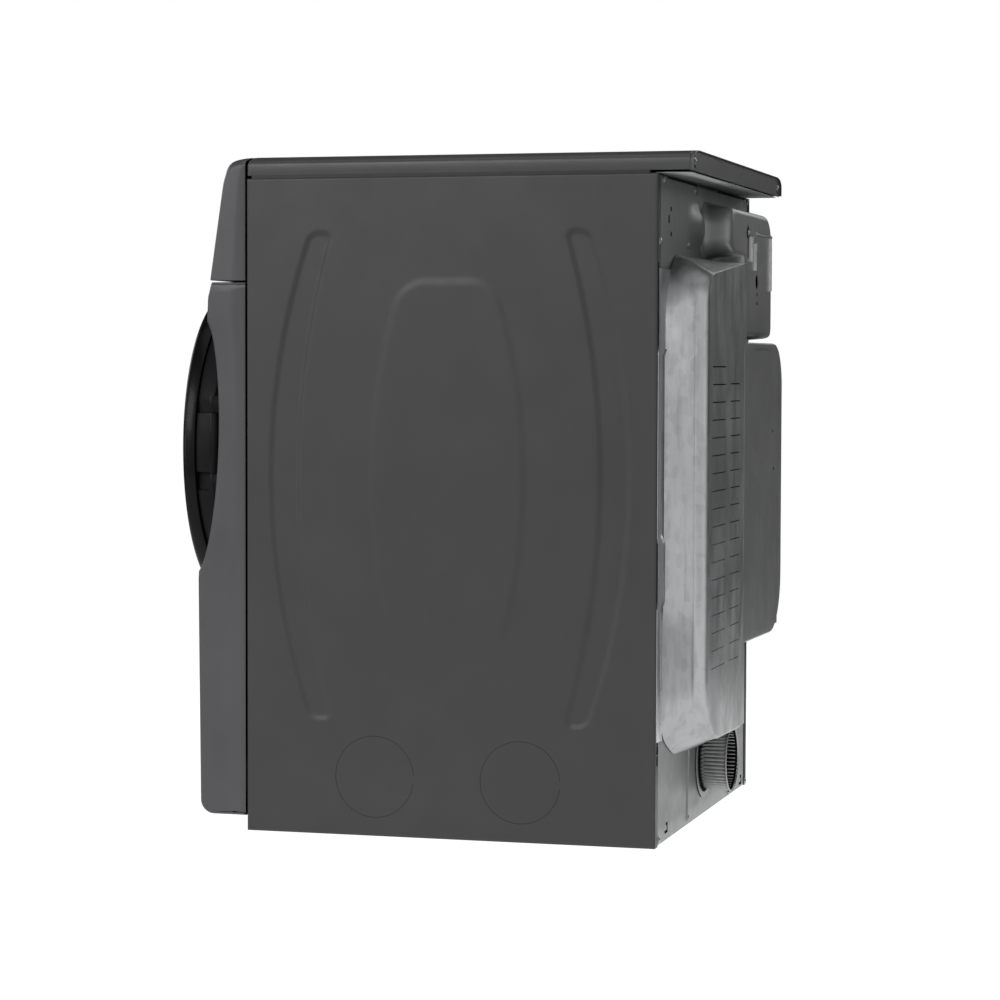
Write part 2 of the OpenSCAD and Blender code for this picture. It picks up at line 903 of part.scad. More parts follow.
side_panel_right();
side_panel_left();
top_panel();
top_rear_plate();
lid_spacers();
base_pan();
rear_panel();
drum_rear_cover();
rear_duct_cover();
terminal_cover();
terminal_block();
exhaust_spigot();
exhaust_duct();
front_panel();
control_panel();
fascia_insert();
display_window();
control_board();
knob();
power_button();
start_button();
option_button_1();
option_button_2();
option_button_3();
front_bulkhead();
front_throat();
rear_bulkhead();
drum();
drum_baffles();
felt_seals();
roller_right();
roller_left();
roller_shafts();
drum_belt();
motor();
motor_bracket();
motor_pulley();
idler_arm();
idler_pulley();
blower_housing();
blower_wheel();
filter_housing();
lint_filter();
heater_housing();
heater_coils();
thermostats();
door_ring();
door_glass();
door_inner_frame();
door_bowl();
hinge_bracket();
hinge_leaf();
hinge_pin();
door_strike();
door_latch();
rear_screws();
foot_front_right();
foot_front_left();
foot_rear_right();
foot_rear_left();
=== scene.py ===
"""Looks of a front-loading clothes dryer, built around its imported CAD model.

Sizes are millimetres in the cabinet's own frame (y = 0 at the rear edge of the side panels, z = 0 at
their bottom edge, -y to the front, +x the hinge side) until make() turns them into the row's metres.
Lights and the floor are in the row's metres.
"""

import json
import math

import bmesh
import bpy
from mathutils import Matrix, Vector


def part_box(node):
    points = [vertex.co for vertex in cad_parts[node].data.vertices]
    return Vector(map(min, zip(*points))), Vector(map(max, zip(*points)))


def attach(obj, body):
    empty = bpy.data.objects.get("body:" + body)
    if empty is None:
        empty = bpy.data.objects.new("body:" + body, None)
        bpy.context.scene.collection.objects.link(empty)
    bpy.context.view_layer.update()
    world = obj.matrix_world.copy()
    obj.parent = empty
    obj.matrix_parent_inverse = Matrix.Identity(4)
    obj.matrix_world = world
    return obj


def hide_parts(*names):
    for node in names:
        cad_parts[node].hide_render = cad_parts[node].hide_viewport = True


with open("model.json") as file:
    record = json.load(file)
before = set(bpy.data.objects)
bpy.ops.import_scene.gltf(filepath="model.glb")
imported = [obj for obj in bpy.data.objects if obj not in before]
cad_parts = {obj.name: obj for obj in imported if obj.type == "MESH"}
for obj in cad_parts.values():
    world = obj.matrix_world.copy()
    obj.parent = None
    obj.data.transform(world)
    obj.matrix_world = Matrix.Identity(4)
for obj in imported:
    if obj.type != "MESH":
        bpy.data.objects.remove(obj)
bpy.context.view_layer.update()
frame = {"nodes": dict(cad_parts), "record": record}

MM = 0.001
panel_low, panel_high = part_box("side_panel_right")
BACK = panel_high.y
FLOOR_GAP = panel_low.z
HALF_W = panel_high.x / MM
SIDE_D = (panel_high.y - panel_low.y) / MM
SIDE_H = (panel_high.z - panel_low.z) / MM
FRONT = -SIDE_D


def at(x, y, z):
    """A point of the cabinet's frame, in the row's metres."""
    return Vector((x * MM, y * MM + BACK, z * MM + FLOOR_GAP))


# --- camera, floor and light

CAMERA_AT = (4401.8, 900.4, 682.7)
CAMERA_AZIMUTH = 105.531
CAMERA_PITCH = 2.623
CAMERA_ROLL = 0.161
CAMERA_LENS = 106.69


def make_camera():
    a, p, r = (math.radians(v) for v in (CAMERA_AZIMUTH, CAMERA_PITCH, CAMERA_ROLL))
    back = Vector((math.sin(a) * math.cos(p), -math.cos(a) * math.cos(p), math.sin(p)))
    level = (-back).cross(Vector((0, 0, 1))).normalized()
    upright = level.cross(-back)
    right = level * math.cos(r) + upright * math.sin(r)
    up = upright * math.cos(r) - level * math.sin(r)
    data = bpy.data.cameras.new("camera")
    data.lens = CAMERA_LENS
    data.sensor_width = 36
    camera = bpy.data.objects.new("camera", data)
    turn = Matrix((right, up, back)).transposed().to_4x4()
    camera.matrix_world = Matrix.Translation(at(*CAMERA_AT)) @ turn
    bpy.context.collection.objects.link(camera)
    bpy.context.scene.camera = camera


def area_light(name, position, target, size, power):
    data = bpy.data.lights.new(name, "AREA")
    data.shape = "RECTANGLE"
    data.size, data.size_y = size
    data.energy = power
    light = bpy.data.objects.new(name, data)
    light.location = position
    aim = Vector(target) - Vector(position)
    light.rotation_mode = "QUATERNION"
    light.rotation_quaternion = aim.to_track_quat("-Z", "Y")
    light.visible_camera = False
    bpy.context.collection.objects.link(light)


def map_range(tree, source, ends):
    """A Map Range node; ends are from low, from high, to low, to high."""
    node = tree.nodes.new("ShaderNodeMapRange")
    for name, value in zip(("From Min", "From Max", "To Min", "To Max"), ends):
        node.inputs[name].default_value = value
    tree.links.new(source, node.inputs["Value"])
    return node.outputs["Result"]


def make_world():
    """White to the camera; to everything else bright on its right, dim on its left, below and overhead."""
    world = bpy.data.worlds.new("studio")
    bpy.context.scene.world = world
    world.use_nodes = True
    tree = world.node_tree
    nodes, links = tree.nodes, tree.links
    nodes.clear()

    def product(first, second):
        node = nodes.new("ShaderNodeMath")
        node.operation = "MULTIPLY"
        links.new(first, node.inputs[0])
        links.new(second, node.inputs[1])
        return node.outputs[0]

    seen, lit = (nodes.new("ShaderNodeBackground") for _ in range(2))
    for shader in (seen, lit):
        shader.inputs["Color"].default_value = (1, 1, 1, 1)
    place = nodes.new("ShaderNodeTexCoord").outputs["Generated"]
    split = nodes.new("ShaderNodeSeparateXYZ")
    links.new(place, split.inputs[0])
    side = nodes.new("ShaderNodeVectorMath")
    side.operation = "DOT_PRODUCT"
    side.inputs[1].default_value = (1.0, 0.1, 0.0)
    links.new(place, side.inputs[0])
    across = map_range(tree, side.outputs["Value"], (-0.1, 0.7, 0.1, 0.92))
    upwards = map_range(tree, split.outputs["Z"], (0.15, 1.0, 1.0, 0.25))
    below = map_range(tree, split.outputs["Z"], (-0.4, -0.02, 0.2, 1.0))
    links.new(product(across, product(upwards, below)), lit.inputs["Strength"])
    mix = nodes.new("ShaderNodeMixShader")
    links.new(nodes.new("ShaderNodeLightPath").outputs["Is Camera Ray"], mix.inputs["Fac"])
    links.new(lit.outputs[0], mix.inputs[1])
    links.new(seen.outputs[0], mix.inputs[2])
    links.new(mix.outputs[0], nodes.new("ShaderNodeOutputWorld").inputs["Surface"])


def make_floor():
    half = 1.6
    mesh = bpy.data.meshes.new("floor")
    corners = [(-half, -half, 0), (half, -half, 0), (half, half, 0), (-half, half, 0)]
    mesh.from_pydata(corners, [], [(0, 1, 2, 3)])
    floor = bpy.data.objects.new("floor", mesh)
    bpy.context.collection.objects.link(floor)
    paint = bpy.data.materials.new("floor_paint")
    paint.use_nodes = True
    shader = paint.node_tree.nodes["Principled BSDF"]
    shader.inputs["Base Color"].default_value = (0.3, 0.3, 0.3, 1)
    shader.inputs["Roughness"].default_value = 0.9
    shader.inputs["Specular IOR Level"].default_value = 0.0
    shader.inputs["Emission Color"].default_value = (1, 1, 1, 1)
    shader.inputs["Emission Strength"].default_value = 0.96
    mesh.materials.append(paint)


make_camera()
make_world()
make_floor()
bpy.context.scene.view_settings.view_transform = "Standard"
area_light("key_side", (4.2, -1.6, 2.6), (0.2, 0.0, 0.5), (2.4, 2.4), 95)
area_light("strip_rear", (3.2, 2.9, 1.2), (0.3, 0.0, 0.5), (0.3, 2.4), 5)
area_light("strip_front", (3.0, -3.2, 1.2), (0.3, 0.0, 0.5), (0.35, 2.4), 18)
area_light("fill_front", (-0.6, -4.2, 2.2), (0.0, 0.0, 0.5), (3.0, 2.0), 60)
area_light("fill_left", (-3.6, 1.6, 2.4), (0.0, 0.2, 0.5), (2.0, 2.0), 23)
area_light("top_soft", (0.2, 0.2, 4.2), (0.0, 0.0, 0.5), (3.0, 3.0), 25)

# --- materials

LOOKS = {}
NOISE_SPREAD = (0.3, 0.7)


class Paint:
    """A Principled material in LOOKS with helpers for noise, roughness and bump, in object coordinates."""

    def __init__(self, name, colour, roughness, metallic=0.0):
        LOOKS[name] = bpy.data.materials.new(name)
        LOOKS[name].use_nodes = True
        self.tree = LOOKS[name].node_tree
        self.nodes, self.links = self.tree.nodes, self.tree.links
        self.shader = self.nodes["Principled BSDF"]
        self.colour = colour
        self.shader.inputs["Base Color"].default_value = (*colour, 1)
        self.shader.inputs["Roughness"].default_value = roughness
        self.shader.inputs["Metallic"].default_value = metallic
        self.place = self.nodes.new("ShaderNodeTexCoord").outputs["Object"]
        self.height = None

    def set(self, **values):
        for name, value in values.items():
            self.shader.inputs[name.replace("_", " ")].default_value = value
        return self

    def stretch(self, scale):
        mapping = self.nodes.new("ShaderNodeMapping")
        mapping.inputs["Scale"].default_value = scale
        self.links.new(self.place, mapping.inputs["Vector"])
        return mapping.outputs["Vector"]

    def noise(self, scale, detail=3.0, roughness=0.5, stretched=(1, 1, 1)):
        node = self.nodes.new("ShaderNodeTexNoise")
        node.inputs["Scale"].default_value = scale
        node.inputs["Detail"].default_value = detail
        node.inputs["Roughness"].default_value = roughness
        self.links.new(self.stretch(stretched), node.inputs["Vector"])
        return node.outputs["Fac"]

    def cells(self, scale, stretched=(1, 1, 1)):
        node = self.nodes.new("ShaderNodeTexVoronoi")
        node.inputs["Scale"].default_value = scale
        self.links.new(self.stretch(stretched), node.inputs["Vector"])
        split = self.nodes.new("ShaderNodeSeparateColor")
        self.links.new(node.outputs["Color"], split.inputs[0])
        return split.outputs[0]

    def tint(self, source, dark, light):
        """Base colour runs from dark to light times the paint's colour, by a 0 to 1 source."""
        ramp = self.nodes.new("ShaderNodeValToRGB")
        for stop, factor, position in zip(ramp.color_ramp.elements, (dark, light), NOISE_SPREAD):
            stop.color = (*(min(c * factor, 1) for c in self.colour), 1)
            stop.position = position
        self.links.new(source, ramp.inputs["Fac"])
        self.base = ramp.outputs["Color"]
        self.links.new(self.base, self.shader.inputs["Base Color"])
        return self

    def rough(self, source, low, high):
        spread = map_range(self.tree, source, (*NOISE_SPREAD, low, high))
        self.links.new(spread, self.shader.inputs["Roughness"])
        return self

    def bump(self, source, depth_mm):
        node = self.nodes.new("ShaderNodeBump")
        node.inputs["Strength"].default_value = 1.0
        node.inputs["Distance"].default_value = depth_mm * MM
        self.links.new(source, node.inputs["Height"])
        if self.height is not None:
            self.links.new(self.height, node.inputs["Normal"])
        self.height = node.outputs["Normal"]
        self.links.new(self.height, self.shader.inputs["Normal"])
        return self

    def paint_edge_highlight(self, colour, amount):
        """Painted highlight: lighter colour where the surface turns sharply outwards."""
        geometry = self.nodes.new("ShaderNodeNewGeometry")
        edge = map_range(self.tree, geometry.outputs["Pointiness"], (0.52, 0.6, 0.0, amount))
        mix = self.nodes.new("ShaderNodeMix")
        mix.data_type = "RGBA"
        self.links.new(edge, mix.inputs["Factor"])
        self.links.new(self.base, mix.inputs["A"])
        mix.inputs["B"].default_value = (*colour, 1)
        self.base = mix.outputs["Result"]
        self.links.new(self.base, self.shader.inputs["Base Color"])
        return self


def brighter(colour, factor, lift=0.0):
    return tuple(min(1, c * factor + lift) for c in colour)


def coated(name, colour, roughness, metallic, grain=0.05, edge=None, gloss=0.3):
    """Powder-coated or painted sheet: orange peel, faint cloudiness, lighter edges as a painted highlight."""
    p = Paint(name, colour, roughness, metallic)
    cloud = p.noise(9, 4)
    p.tint(cloud, 0.93, 1.07)
    p.rough(p.noise(30, 3), roughness - 0.04, roughness + 0.05)
    p.bump(p.noise(420, 2), grain)
    p.bump(p.noise(1500, 1), grain * 0.3)
    p.set(Specular_IOR_Level=gloss)
    p.paint_edge_highlight(edge or brighter(colour, 2.0), 0.5)


def zinc(name, colour, roughness):
    """Galvanised sheet: spangle cells, drawn streaks and dull patches."""
    p = Paint(name, colour, roughness, 1.0)
    cells = p.cells(95, (1, 1, 0.7))
    streaks = p.noise(14, 4, 0.6, (6, 6, 0.6))
    blend = p.nodes.new("ShaderNodeMath")
    blend.operation = "MULTIPLY_ADD"
    p.links.new(cells, blend.inputs[0])
    blend.inputs[1].default_value = 0.24
    p.links.new(streaks, blend.inputs[2])
    p.tint(blend.outputs[0], 0.84, 1.12)
    p.rough(p.noise(22, 5, 0.6, (1, 1, 0.4)), roughness - 0.08, roughness + 0.12)
    p.bump(cells, 0.012)
    p.bump(streaks, 0.1)
    # painted highlight: lighter colour on sharp edges
    p.paint_edge_highlight(brighter(colour, 1.35), 0.5)


def moulded(name, colour, roughness, grain=0.04, scale=900, coat=0.0, gloss=0.5):
    """Moulded plastic: fine spark-eroded grain and a little unevenness."""
    p = Paint(name, colour, roughness)
    p.tint(p.noise(12, 3), 0.94, 1.06)
    p.rough(p.noise(60, 3), roughness - 0.03, roughness + 0.06)
    p.bump(p.noise(scale, 2), grain)
    p.set(Coat_Weight=coat, Coat_Roughness=0.05, Specular_IOR_Level=gloss)
    # painted highlight: lighter colour on sharp edges
    p.paint_edge_highlight(brighter(colour, 1.6, 0.01), 0.3)


def brushed(name, colour, roughness, direction, metallic=1.0):
    """Brushed metal: long fine scratches along one axis."""
    p = Paint(name, colour, roughness, metallic)
    lines = p.noise(60, 4, 0.7, direction)
    p.tint(lines, 0.88, 1.1)
    p.rough(lines, roughness - 0.06, roughness + 0.1)
    p.bump(lines, 0.02)
    # painted highlight: lighter colour on sharp edges
    p.paint_edge_highlight(brighter(colour, 1.3), 0.4)


def clear(name, colour, roughness, ior=1.5, smoke=0.0):
    """Glass with faint smears in its polish."""
    p = Paint(name, colour, roughness)
    p.set(Transmission_Weight=1.0 - smoke, IOR=ior)
    p.tint(p.noise(8, 3), 0.95, 1.0)
    p.rough(p.noise(14, 4), roughness, roughness + 0.05)
    p.bump(p.noise(3, 2), 0.05)


def woven(name, colour):
    """Pressed felt: matted fibres."""
    p = Paint(name, colour, 0.95)
    p.tint(p.noise(160, 5, 0.7), 0.7, 1.25)
    p.rough(p.noise(80, 3), 0.88, 1.0)
    p.bump(p.noise(500, 5, 0.7), 0.35)
    p.set(Sheen_Weight=0.4)


# Each coated look's edge colour is its painted edge highlight.
coated("cabinet_steel", (0.032, 0.032, 0.0325), 0.42, 0.0)
# Near-black matte: the lid seal's own black, and painted shade for the side panels' knockout grooves.
coated("seal_and_groove_shade", (0.016, 0.016, 0.017), 0.6, 0.0, gloss=0.1)
coated("lid_steel", (0.046, 0.046, 0.047), 0.34, 0.0)
coated("front_paint", (0.056, 0.056, 0.059), 0.38, 0.1)
coated("rear_steel", (0.21, 0.218, 0.216), 0.42, 0.7, 0.02, (0.36, 0.37, 0.37))
coated("cover_steel", (0.22, 0.222, 0.226), 0.4, 0.6, 0.03, (0.36, 0.36, 0.36))
zinc("rear_bulge", (0.36, 0.368, 0.372), 0.38)
zinc("spigot_zinc", (0.3, 0.305, 0.3), 0.36)
zinc("galvanised", (0.55, 0.56, 0.565), 0.32)
moulded("black_gloss", (0.003, 0.003, 0.0034), 0.26, 0.003, 300, 0.03, 0.1)
moulded("black_plastic", (0.018, 0.018, 0.018), 0.5)
moulded("grey_plastic", (0.085, 0.085, 0.09), 0.42)
moulded("ring_plastic", (0.008, 0.008, 0.009), 0.4, 0.01, 900, 0.0, 0.07)
moulded("white_plastic", (0.68, 0.68, 0.65), 0.45)
moulded("display", (0.006, 0.008, 0.014), 0.1, 0.002, 300, 0.8)
clear("door_glass", (0.06, 0.06, 0.07), 0.04, 1.5, 0.35)
clear("bowl_glass", (0.9, 0.93, 0.95), 0.03)
brushed("drum_steel", (0.62, 0.62, 0.61), 0.28, (1, 30, 1))
woven("felt", (0.34, 0.31, 0.27))
moulded("rubber", (0.022, 0.022, 0.023), 0.75, 0.12, 500)
brushed("motor_iron", (0.3, 0.3, 0.31), 0.5, (1, 1, 1), 0.8)
brushed("knob_metal", (0.5, 0.5, 0.51), 0.3, (1, 1, 1))
moulded("circuit", (0.02, 0.12, 0.05), 0.4, 0.05, 300)
brushed("heater_wire", (0.3, 0.22, 0.17), 0.5, (1, 1, 8))
# On the terminal folds this look's brightness is a painted highlight on bent edges.
brushed("bright_steel", (0.88, 0.88, 0.88), 0.3, (1, 1, 1))
brushed("zinc_screw", (0.45, 0.45, 0.46), 0.3, (1, 1, 1))
# Near-black matte painted shade, put where slits, holes and gaps open into the machine.
moulded("dark_hole", (0.003, 0.003, 0.003), 0.9, gloss=0.05)
# Near-black: partly the hinge's own black steel, partly painted shade in the door's notches; its edge colour
# keeps the edges dark too.
coated("hinge_steel", (0.004, 0.004, 0.0045), 0.5, 0.0, edge=(0.01,) * 3, gloss=0.06)
moulded("mark", (0.5, 0.51, 0.52), 0.5)

# --- mesh helpers


MERGE_WITHIN = 0.01


def closed_mesh(name, verts, faces, merged):
    """A mesh from cabinet-frame millimetres, faces turned outwards, doubled points merged if asked."""
    mesh = bpy.data.meshes.new(name)
    mesh.from_pydata([at(*v) for v in verts], [], faces)
    tidy = bmesh.new()
    tidy.from_mesh(mesh)
    if merged:
        bmesh.ops.remove_doubles(tidy, verts=tidy.verts, dist=MERGE_WITHIN * MM)
        bmesh.ops.dissolve_degenerate(tidy, edges=tidy.edges, dist=MERGE_WITHIN * MM)
    bmesh.ops.recalc_face_normals(tidy, faces=tidy.faces)
    tidy.to_mesh(mesh)
    tidy.free()
    return mesh


def make(name, verts, faces, look, body="cabinet", replaces=(), slot=None, sharp=35):
    """A piece shaded smooth with sharp creases, riding on its body."""
    mesh = closed_mesh(name, verts, faces, True)
    mesh.shade_smooth()
    mesh.set_sharp_from_angle(angle=math.radians(sharp))
    piece = bpy.data.objects.new(name, mesh)
    mesh.materials.append(LOOKS[look])
    bpy.context.collection.objects.link(piece)
    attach(piece, body)
    if replaces:
        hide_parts(*replaces)
    slot or look
    return piece


def thicken(piece, wall, offset, even=True):
    modifier = piece.modifiers.new("wall", "SOLIDIFY")
    modifier.thickness = wall * MM
    modifier.offset = offset
    modifier.use_even_offset = even


def line_inside(piece, wall, outside, even=True):
    """Gives a sheet its thickness on the inside, whichever way its faces point; outside is a direction."""
    facing = sum(p.normal.dot(Vector(outside)) * p.area for p in piece.data.polygons)
    thicken(piece, wall, -1.0 if facing > 0 else 1.0, even)


def round_edges(piece, width, segments, angle):
    modifier = piece.modifiers.new("edges", "BEVEL")
    modifier.width = width * MM
    modifier.segments = segments
    modifier.limit_method = "ANGLE"
    modifier.angle_limit = math.radians(angle)
    modifier.harden_normals = True


def cut(piece, *shapes):
    """Takes shapes out of a piece for good."""
    cutters = []
    for shape in shapes:
        cutter = bpy.data.objects.new("cutter", closed_mesh("cutter", shape.verts, shape.faces, False))
        bpy.context.collection.objects.link(cutter)
        cutters.append(cutter)
        modifier = piece.modifiers.new("cut", "BOOLEAN")
        modifier.operation = "DIFFERENCE"
        modifier.solver = "EXACT"
        modifier.object = cutter
    shaped = bpy.data.meshes.new_from_object(piece.evaluated_get(bpy.context.evaluated_depsgraph_get()))
    piece.modifiers.clear()
    piece.data = shaped
    for cutter in cutters:
        bpy.data.objects.remove(cutter, do_unlink=True)


def around(count):
    """Angles of a full circle in equal steps."""
    return [2 * math.pi * i / count for i in range(count)]


class Shape:
    """Vertices and faces gathered from several simple forms into one mesh."""

    def __init__(self):
        self.verts, self.faces = [], []

    def add(self, verts, faces):
        base = len(self.verts)
        self.verts.extend(verts)
        self.faces.extend(tuple(i + base for i in f) for f in faces)
        return self

    def sheet(self, rows, loop=False):
        """Quads between equal rows of points; loop joins each row's end to its start."""
        count = len(rows[0])
        last = count if loop else count - 1
        faces = []
        for r in range(len(rows) - 1):
            for c in range(last):
                d = (c + 1) % count
                faces.append((r * count + c, r * count + d, (r + 1) * count + d, (r + 1) * count + c))
        return self.add([p for row in rows for p in row], faces)

    def loft(self, rings, cap=True):
        """Closed rings joined in order, with flat caps."""
        count = len(rings[0])
        self.sheet(rings, loop=True)
        if cap:
            base = len(self.verts) - count * len(rings)
            self.faces.append(tuple(range(base, base + count)))
            self.faces.append(tuple(range(len(self.verts) - count, len(self.verts))))
        return self

    def pan(self, rings):
        """Rings joined in order and closed at the last one only."""
        self.loft(rings, cap=False)
        return self.add(rings[-1], [tuple(range(len(rings[-1])))])

    def block(self, low, high, bevel):
        """A box with chamfered edges."""
        (x0, y0, z0), (x1, y1, z1) = low, high
        b = min(bevel, (x1 - x0) / 3, (y1 - y0) / 3, (z1 - z0) / 3)

        def ring(inset, y):
            a, c, d, e = x0 + inset, x1 - inset, z0 + inset, z1 - inset
            return [(a + b, y, d), (c - b, y, d), (c, y, d + b), (c, y, e - b), (c - b, y, e), (a + b, y, e),
                    (a, y, e - b), (a, y, d + b)]

        return self.loft([ring(b, y0), ring(0, y0 + b), ring(0, y1 - b), ring(b, y1)])

    def turned(self, profile, centre, axis="y", segments=48, cap=True):
        """A profile of (radius, distance) points turned about an axis through centre."""
        rings = []
        for radius, along in profile:
            ring = []
            for a in around(segments):
                u, v = radius * math.cos(a), radius * math.sin(a)
                offset = {"x": (along, u, v), "y": (u, along, v), "z": (u, v, along)}[axis]
                ring.append(tuple(c + o for c, o in zip(centre, offset)))
            rings.append(ring)
        return self.loft(rings, cap)

    def screw(self, x, z, y, r, stand):
        """A pan head with a washer face and a cross recess, facing +y."""
        self.turned([(r + 1.6, 0), (r + 1.6, 0.7), (r, 0.9), (r, stand - 0.9), (r * 0.75, stand - 0.2),
                     (r * 0.35, stand), (r * 0.3, stand - 1.0)], (x, y, z), segments=20)

    def make(self, name, look, **options):
        return make(name, self.verts, self.faces, look, **options)


def arc(cx, cy, r, start, end, steps):
    """Points on an arc, angles in degrees."""
    return [(cx + r * math.cos(math.radians(start + (end - start) * i / steps)),
             cy + r * math.sin(math.radians(start + (end - start) * i / steps))) for i in range(steps + 1)]


def span(low, high, step):
    """Evenly spaced values from low to high, no further apart than step."""
    count = max(1, math.ceil(abs(high - low) / step))
    return [low + (high - low) * i / count for i in range(count + 1)]


def smooth(t):
    t = min(max(t, 0.0), 1.0)
    return t * t * (3 - 2 * t)


def rounded_outline(x0, x1, z0, z1, corners, steps=8):
    """Anticlockwise outline; corners are the radii at (x1, z0), (x1, z1), (x0, z1), (x0, z0)."""
    a, b, c, d = corners
    points = arc(x1 - a, z0 + a, a, -90, 0, steps) + arc(x1 - b, z1 - b, b, 0, 90, steps)
    points += arc(x0 + c, z1 - c, c, 90, 180, steps) + arc(x0 + d, z0 + d, d, 180, 270, steps)
    return points


# --- side panels

PANEL_INSET = 1.4
RIB_DEPTH = 2.6
RIB_SLOPE = 6.5
ARCH_SLOPE = 13
MID_Y, MID_Z = -307, 520
KNOCKOUT_YS = (-415.3, -197.4)
KNOCKOUT_Z = 86
KNOCKOUT_R = 59


def rib_depth(y, z):
    """The two crescent grooves: the space between an outer and an inner arc, with rounded ends."""
    across = abs(y - MID_Y)
    up = z - MID_Z
    outer = 267 - 1050 + math.sqrt(1050 ** 2 - up ** 2)
    inner = 225 - 1250 + math.sqrt(1250 ** 2 - up ** 2)
    inside = min(outer - across, across - inner)
    half = (outer - inner) / 2
    end = 351 - abs(up)
    corner = 12
    if end < corner and inside < corner:
        inside = corner - math.hypot(corner - end, corner - min(inside, corner))
    else:
        inside = min(inside, end, half)
    return RIB_DEPTH * smooth(inside / RIB_SLOPE + 0.5)


def arch_rise(y, z):
    """The raised centre: a tall arch with bowed sides that fades out towards the bottom."""
    across = abs(y - MID_Y)
    side = 113.5 - 880 + math.sqrt(880 ** 2 - (z - MID_Z) ** 2) - across
    top = 801 - z
    corner = 34
    if top < corner and side < corner:
        inside = corner - math.hypot(corner - top, corner - side)
    else:
        inside = min(side, top)
    fade = smooth((z - 235) / 130)
    return PANEL_INSET * smooth(inside / ARCH_SLOPE + 0.5) * fade


def side_panel(sign, name):
    """One folded sheet: front flange, face, rear flange, as rows up the height."""
    flange = 20
    fold = 2.2
    face_x = HALF_W - PANEL_INSET
    ys = span(FRONT + fold, -fold, 3.0)
    rows = []
    for z in span(0, SIDE_H, 3.0):
        front = [(HALF_W - flange, FRONT), (face_x - fold - 1, FRONT)]
        front += arc(face_x - fold, FRONT + fold, fold, -90, -30, 2)
        face = [(face_x - rib_depth(y, z) + arch_rise(y, z), y) for y in ys]
        rear = arc(face_x - fold, -fold, fold, 30, 90, 2)
        rear += [(face_x - fold - 1, 0), (HALF_W - flange, 0)]
        rows.append([(sign * x, y, z) for x, y in front + face + rear])
    panel = Shape().sheet(rows).make(name, "cabinet_steel", replaces=(name,), sharp=50)
    line_inside(panel, 1.0, (sign, 0, 0))
    # The knockouts are thin dark rings standing on the face: painted shade in place of cut grooves.
    rings = Shape()
    for y in KNOCKOUT_YS:
        band = []
        for r, out in ((-0.5, -0.2), (-0.4, 0.03), (0.0, 0.05), (0.4, 0.03), (0.5, -0.2)):
            circle = arc(y, KNOCKOUT_Z, KNOCKOUT_R + r, 3, 353, 88)
            band.append([(sign * (face_x + out), p, q) for p, q in circle])
        rings.sheet(band)
    rings.make(name.replace("side_panel", "knockout_groove_shade"), "seal_and_groove_shade", slot="cabinet_steel")


# --- lid

LID_LOW = 954.4
LID_TOP = 983.0
LID_FLANGE = 969.5
SHOULDER = 40
LID_FRONT = FRONT + 2.0
LID_REAR = 52.0
PLATE_Y = 48.4


def lid_drop(x):
    """How far the lid's surface falls below its flat top at a distance from the middle."""
    over = abs(x) - (HALF_W - SHOULDER)
    if over <= 0:
        return 0.0
    return (LID_TOP - LID_FLANGE) * (1 - math.sqrt(max(0.0, 1 - (over / SHOULDER) ** 2.2)))


def lid_section():
    """Half the lid's outline from its lower edge to the middle, as (x, z)."""
    lower = [(HALF_W - 9, LID_LOW + 0.2), (HALF_W - 1.6, LID_LOW), (HALF_W - 0.4, LID_LOW + 0.5)]
    lower += [(HALF_W, LID_LOW + 1.8), (HALF_W, LID_FLANGE - 3)]
    over = [HALF_W - SHOULDER + SHOULDER * math.cos(math.radians(a)) for a in range(0, 91, 6)]
    return lower + [(x, LID_TOP - lid_drop(x)) for x in over]


def lid_loop():
    """The lid's whole outline, from one lower edge over the top to the other."""
    half = lid_section()
    return half + [(x, LID_TOP) for x in (200, 0, -200)] + [(-x, z) for x, z in reversed(half)]


def make_lid():
    """The lid's sheet, swept from its rolled front edge to the seam at its rear."""
    loop = lid_loop()
    rows = []
    for back, sink in ((0, 3.0), (0.7, 1.3), (2.2, 0.3), (5.0, 0.0)):
        y, narrow, lower = LID_FRONT + back, 1 - sink / 900, 1 - sink / (LID_TOP - LID_LOW)
        rows.append([(x * narrow, y, LID_LOW + (z - LID_LOW) * lower) for x, z in loop])
    for y in span(LID_FRONT + 30, LID_REAR - 12, 60):
        rows.append([(x, y, z) for x, z in loop])
    for ahead, sink in ((7.2, 0.0), (6.4, 0.7), (5.6, 0.7), (4.8, 0.0), (0.8, 0.0), (0, 0.8)):
        y, narrow = LID_REAR - ahead, 1 - sink / HALF_W
        rows.append([(x * narrow, y, z - sink * 0.8 * (z > LID_FLANGE)) for x, z in loop])
    shape = Shape().sheet(rows)
    shape.add(rows[0], [tuple(range(5, len(loop) - 5))])
    lid = shape.make("lid", "lid_steel", replaces=("top_panel",), slot="cabinet_steel", sharp=40)
    line_inside(lid, 1.0, (0, 0, 1))


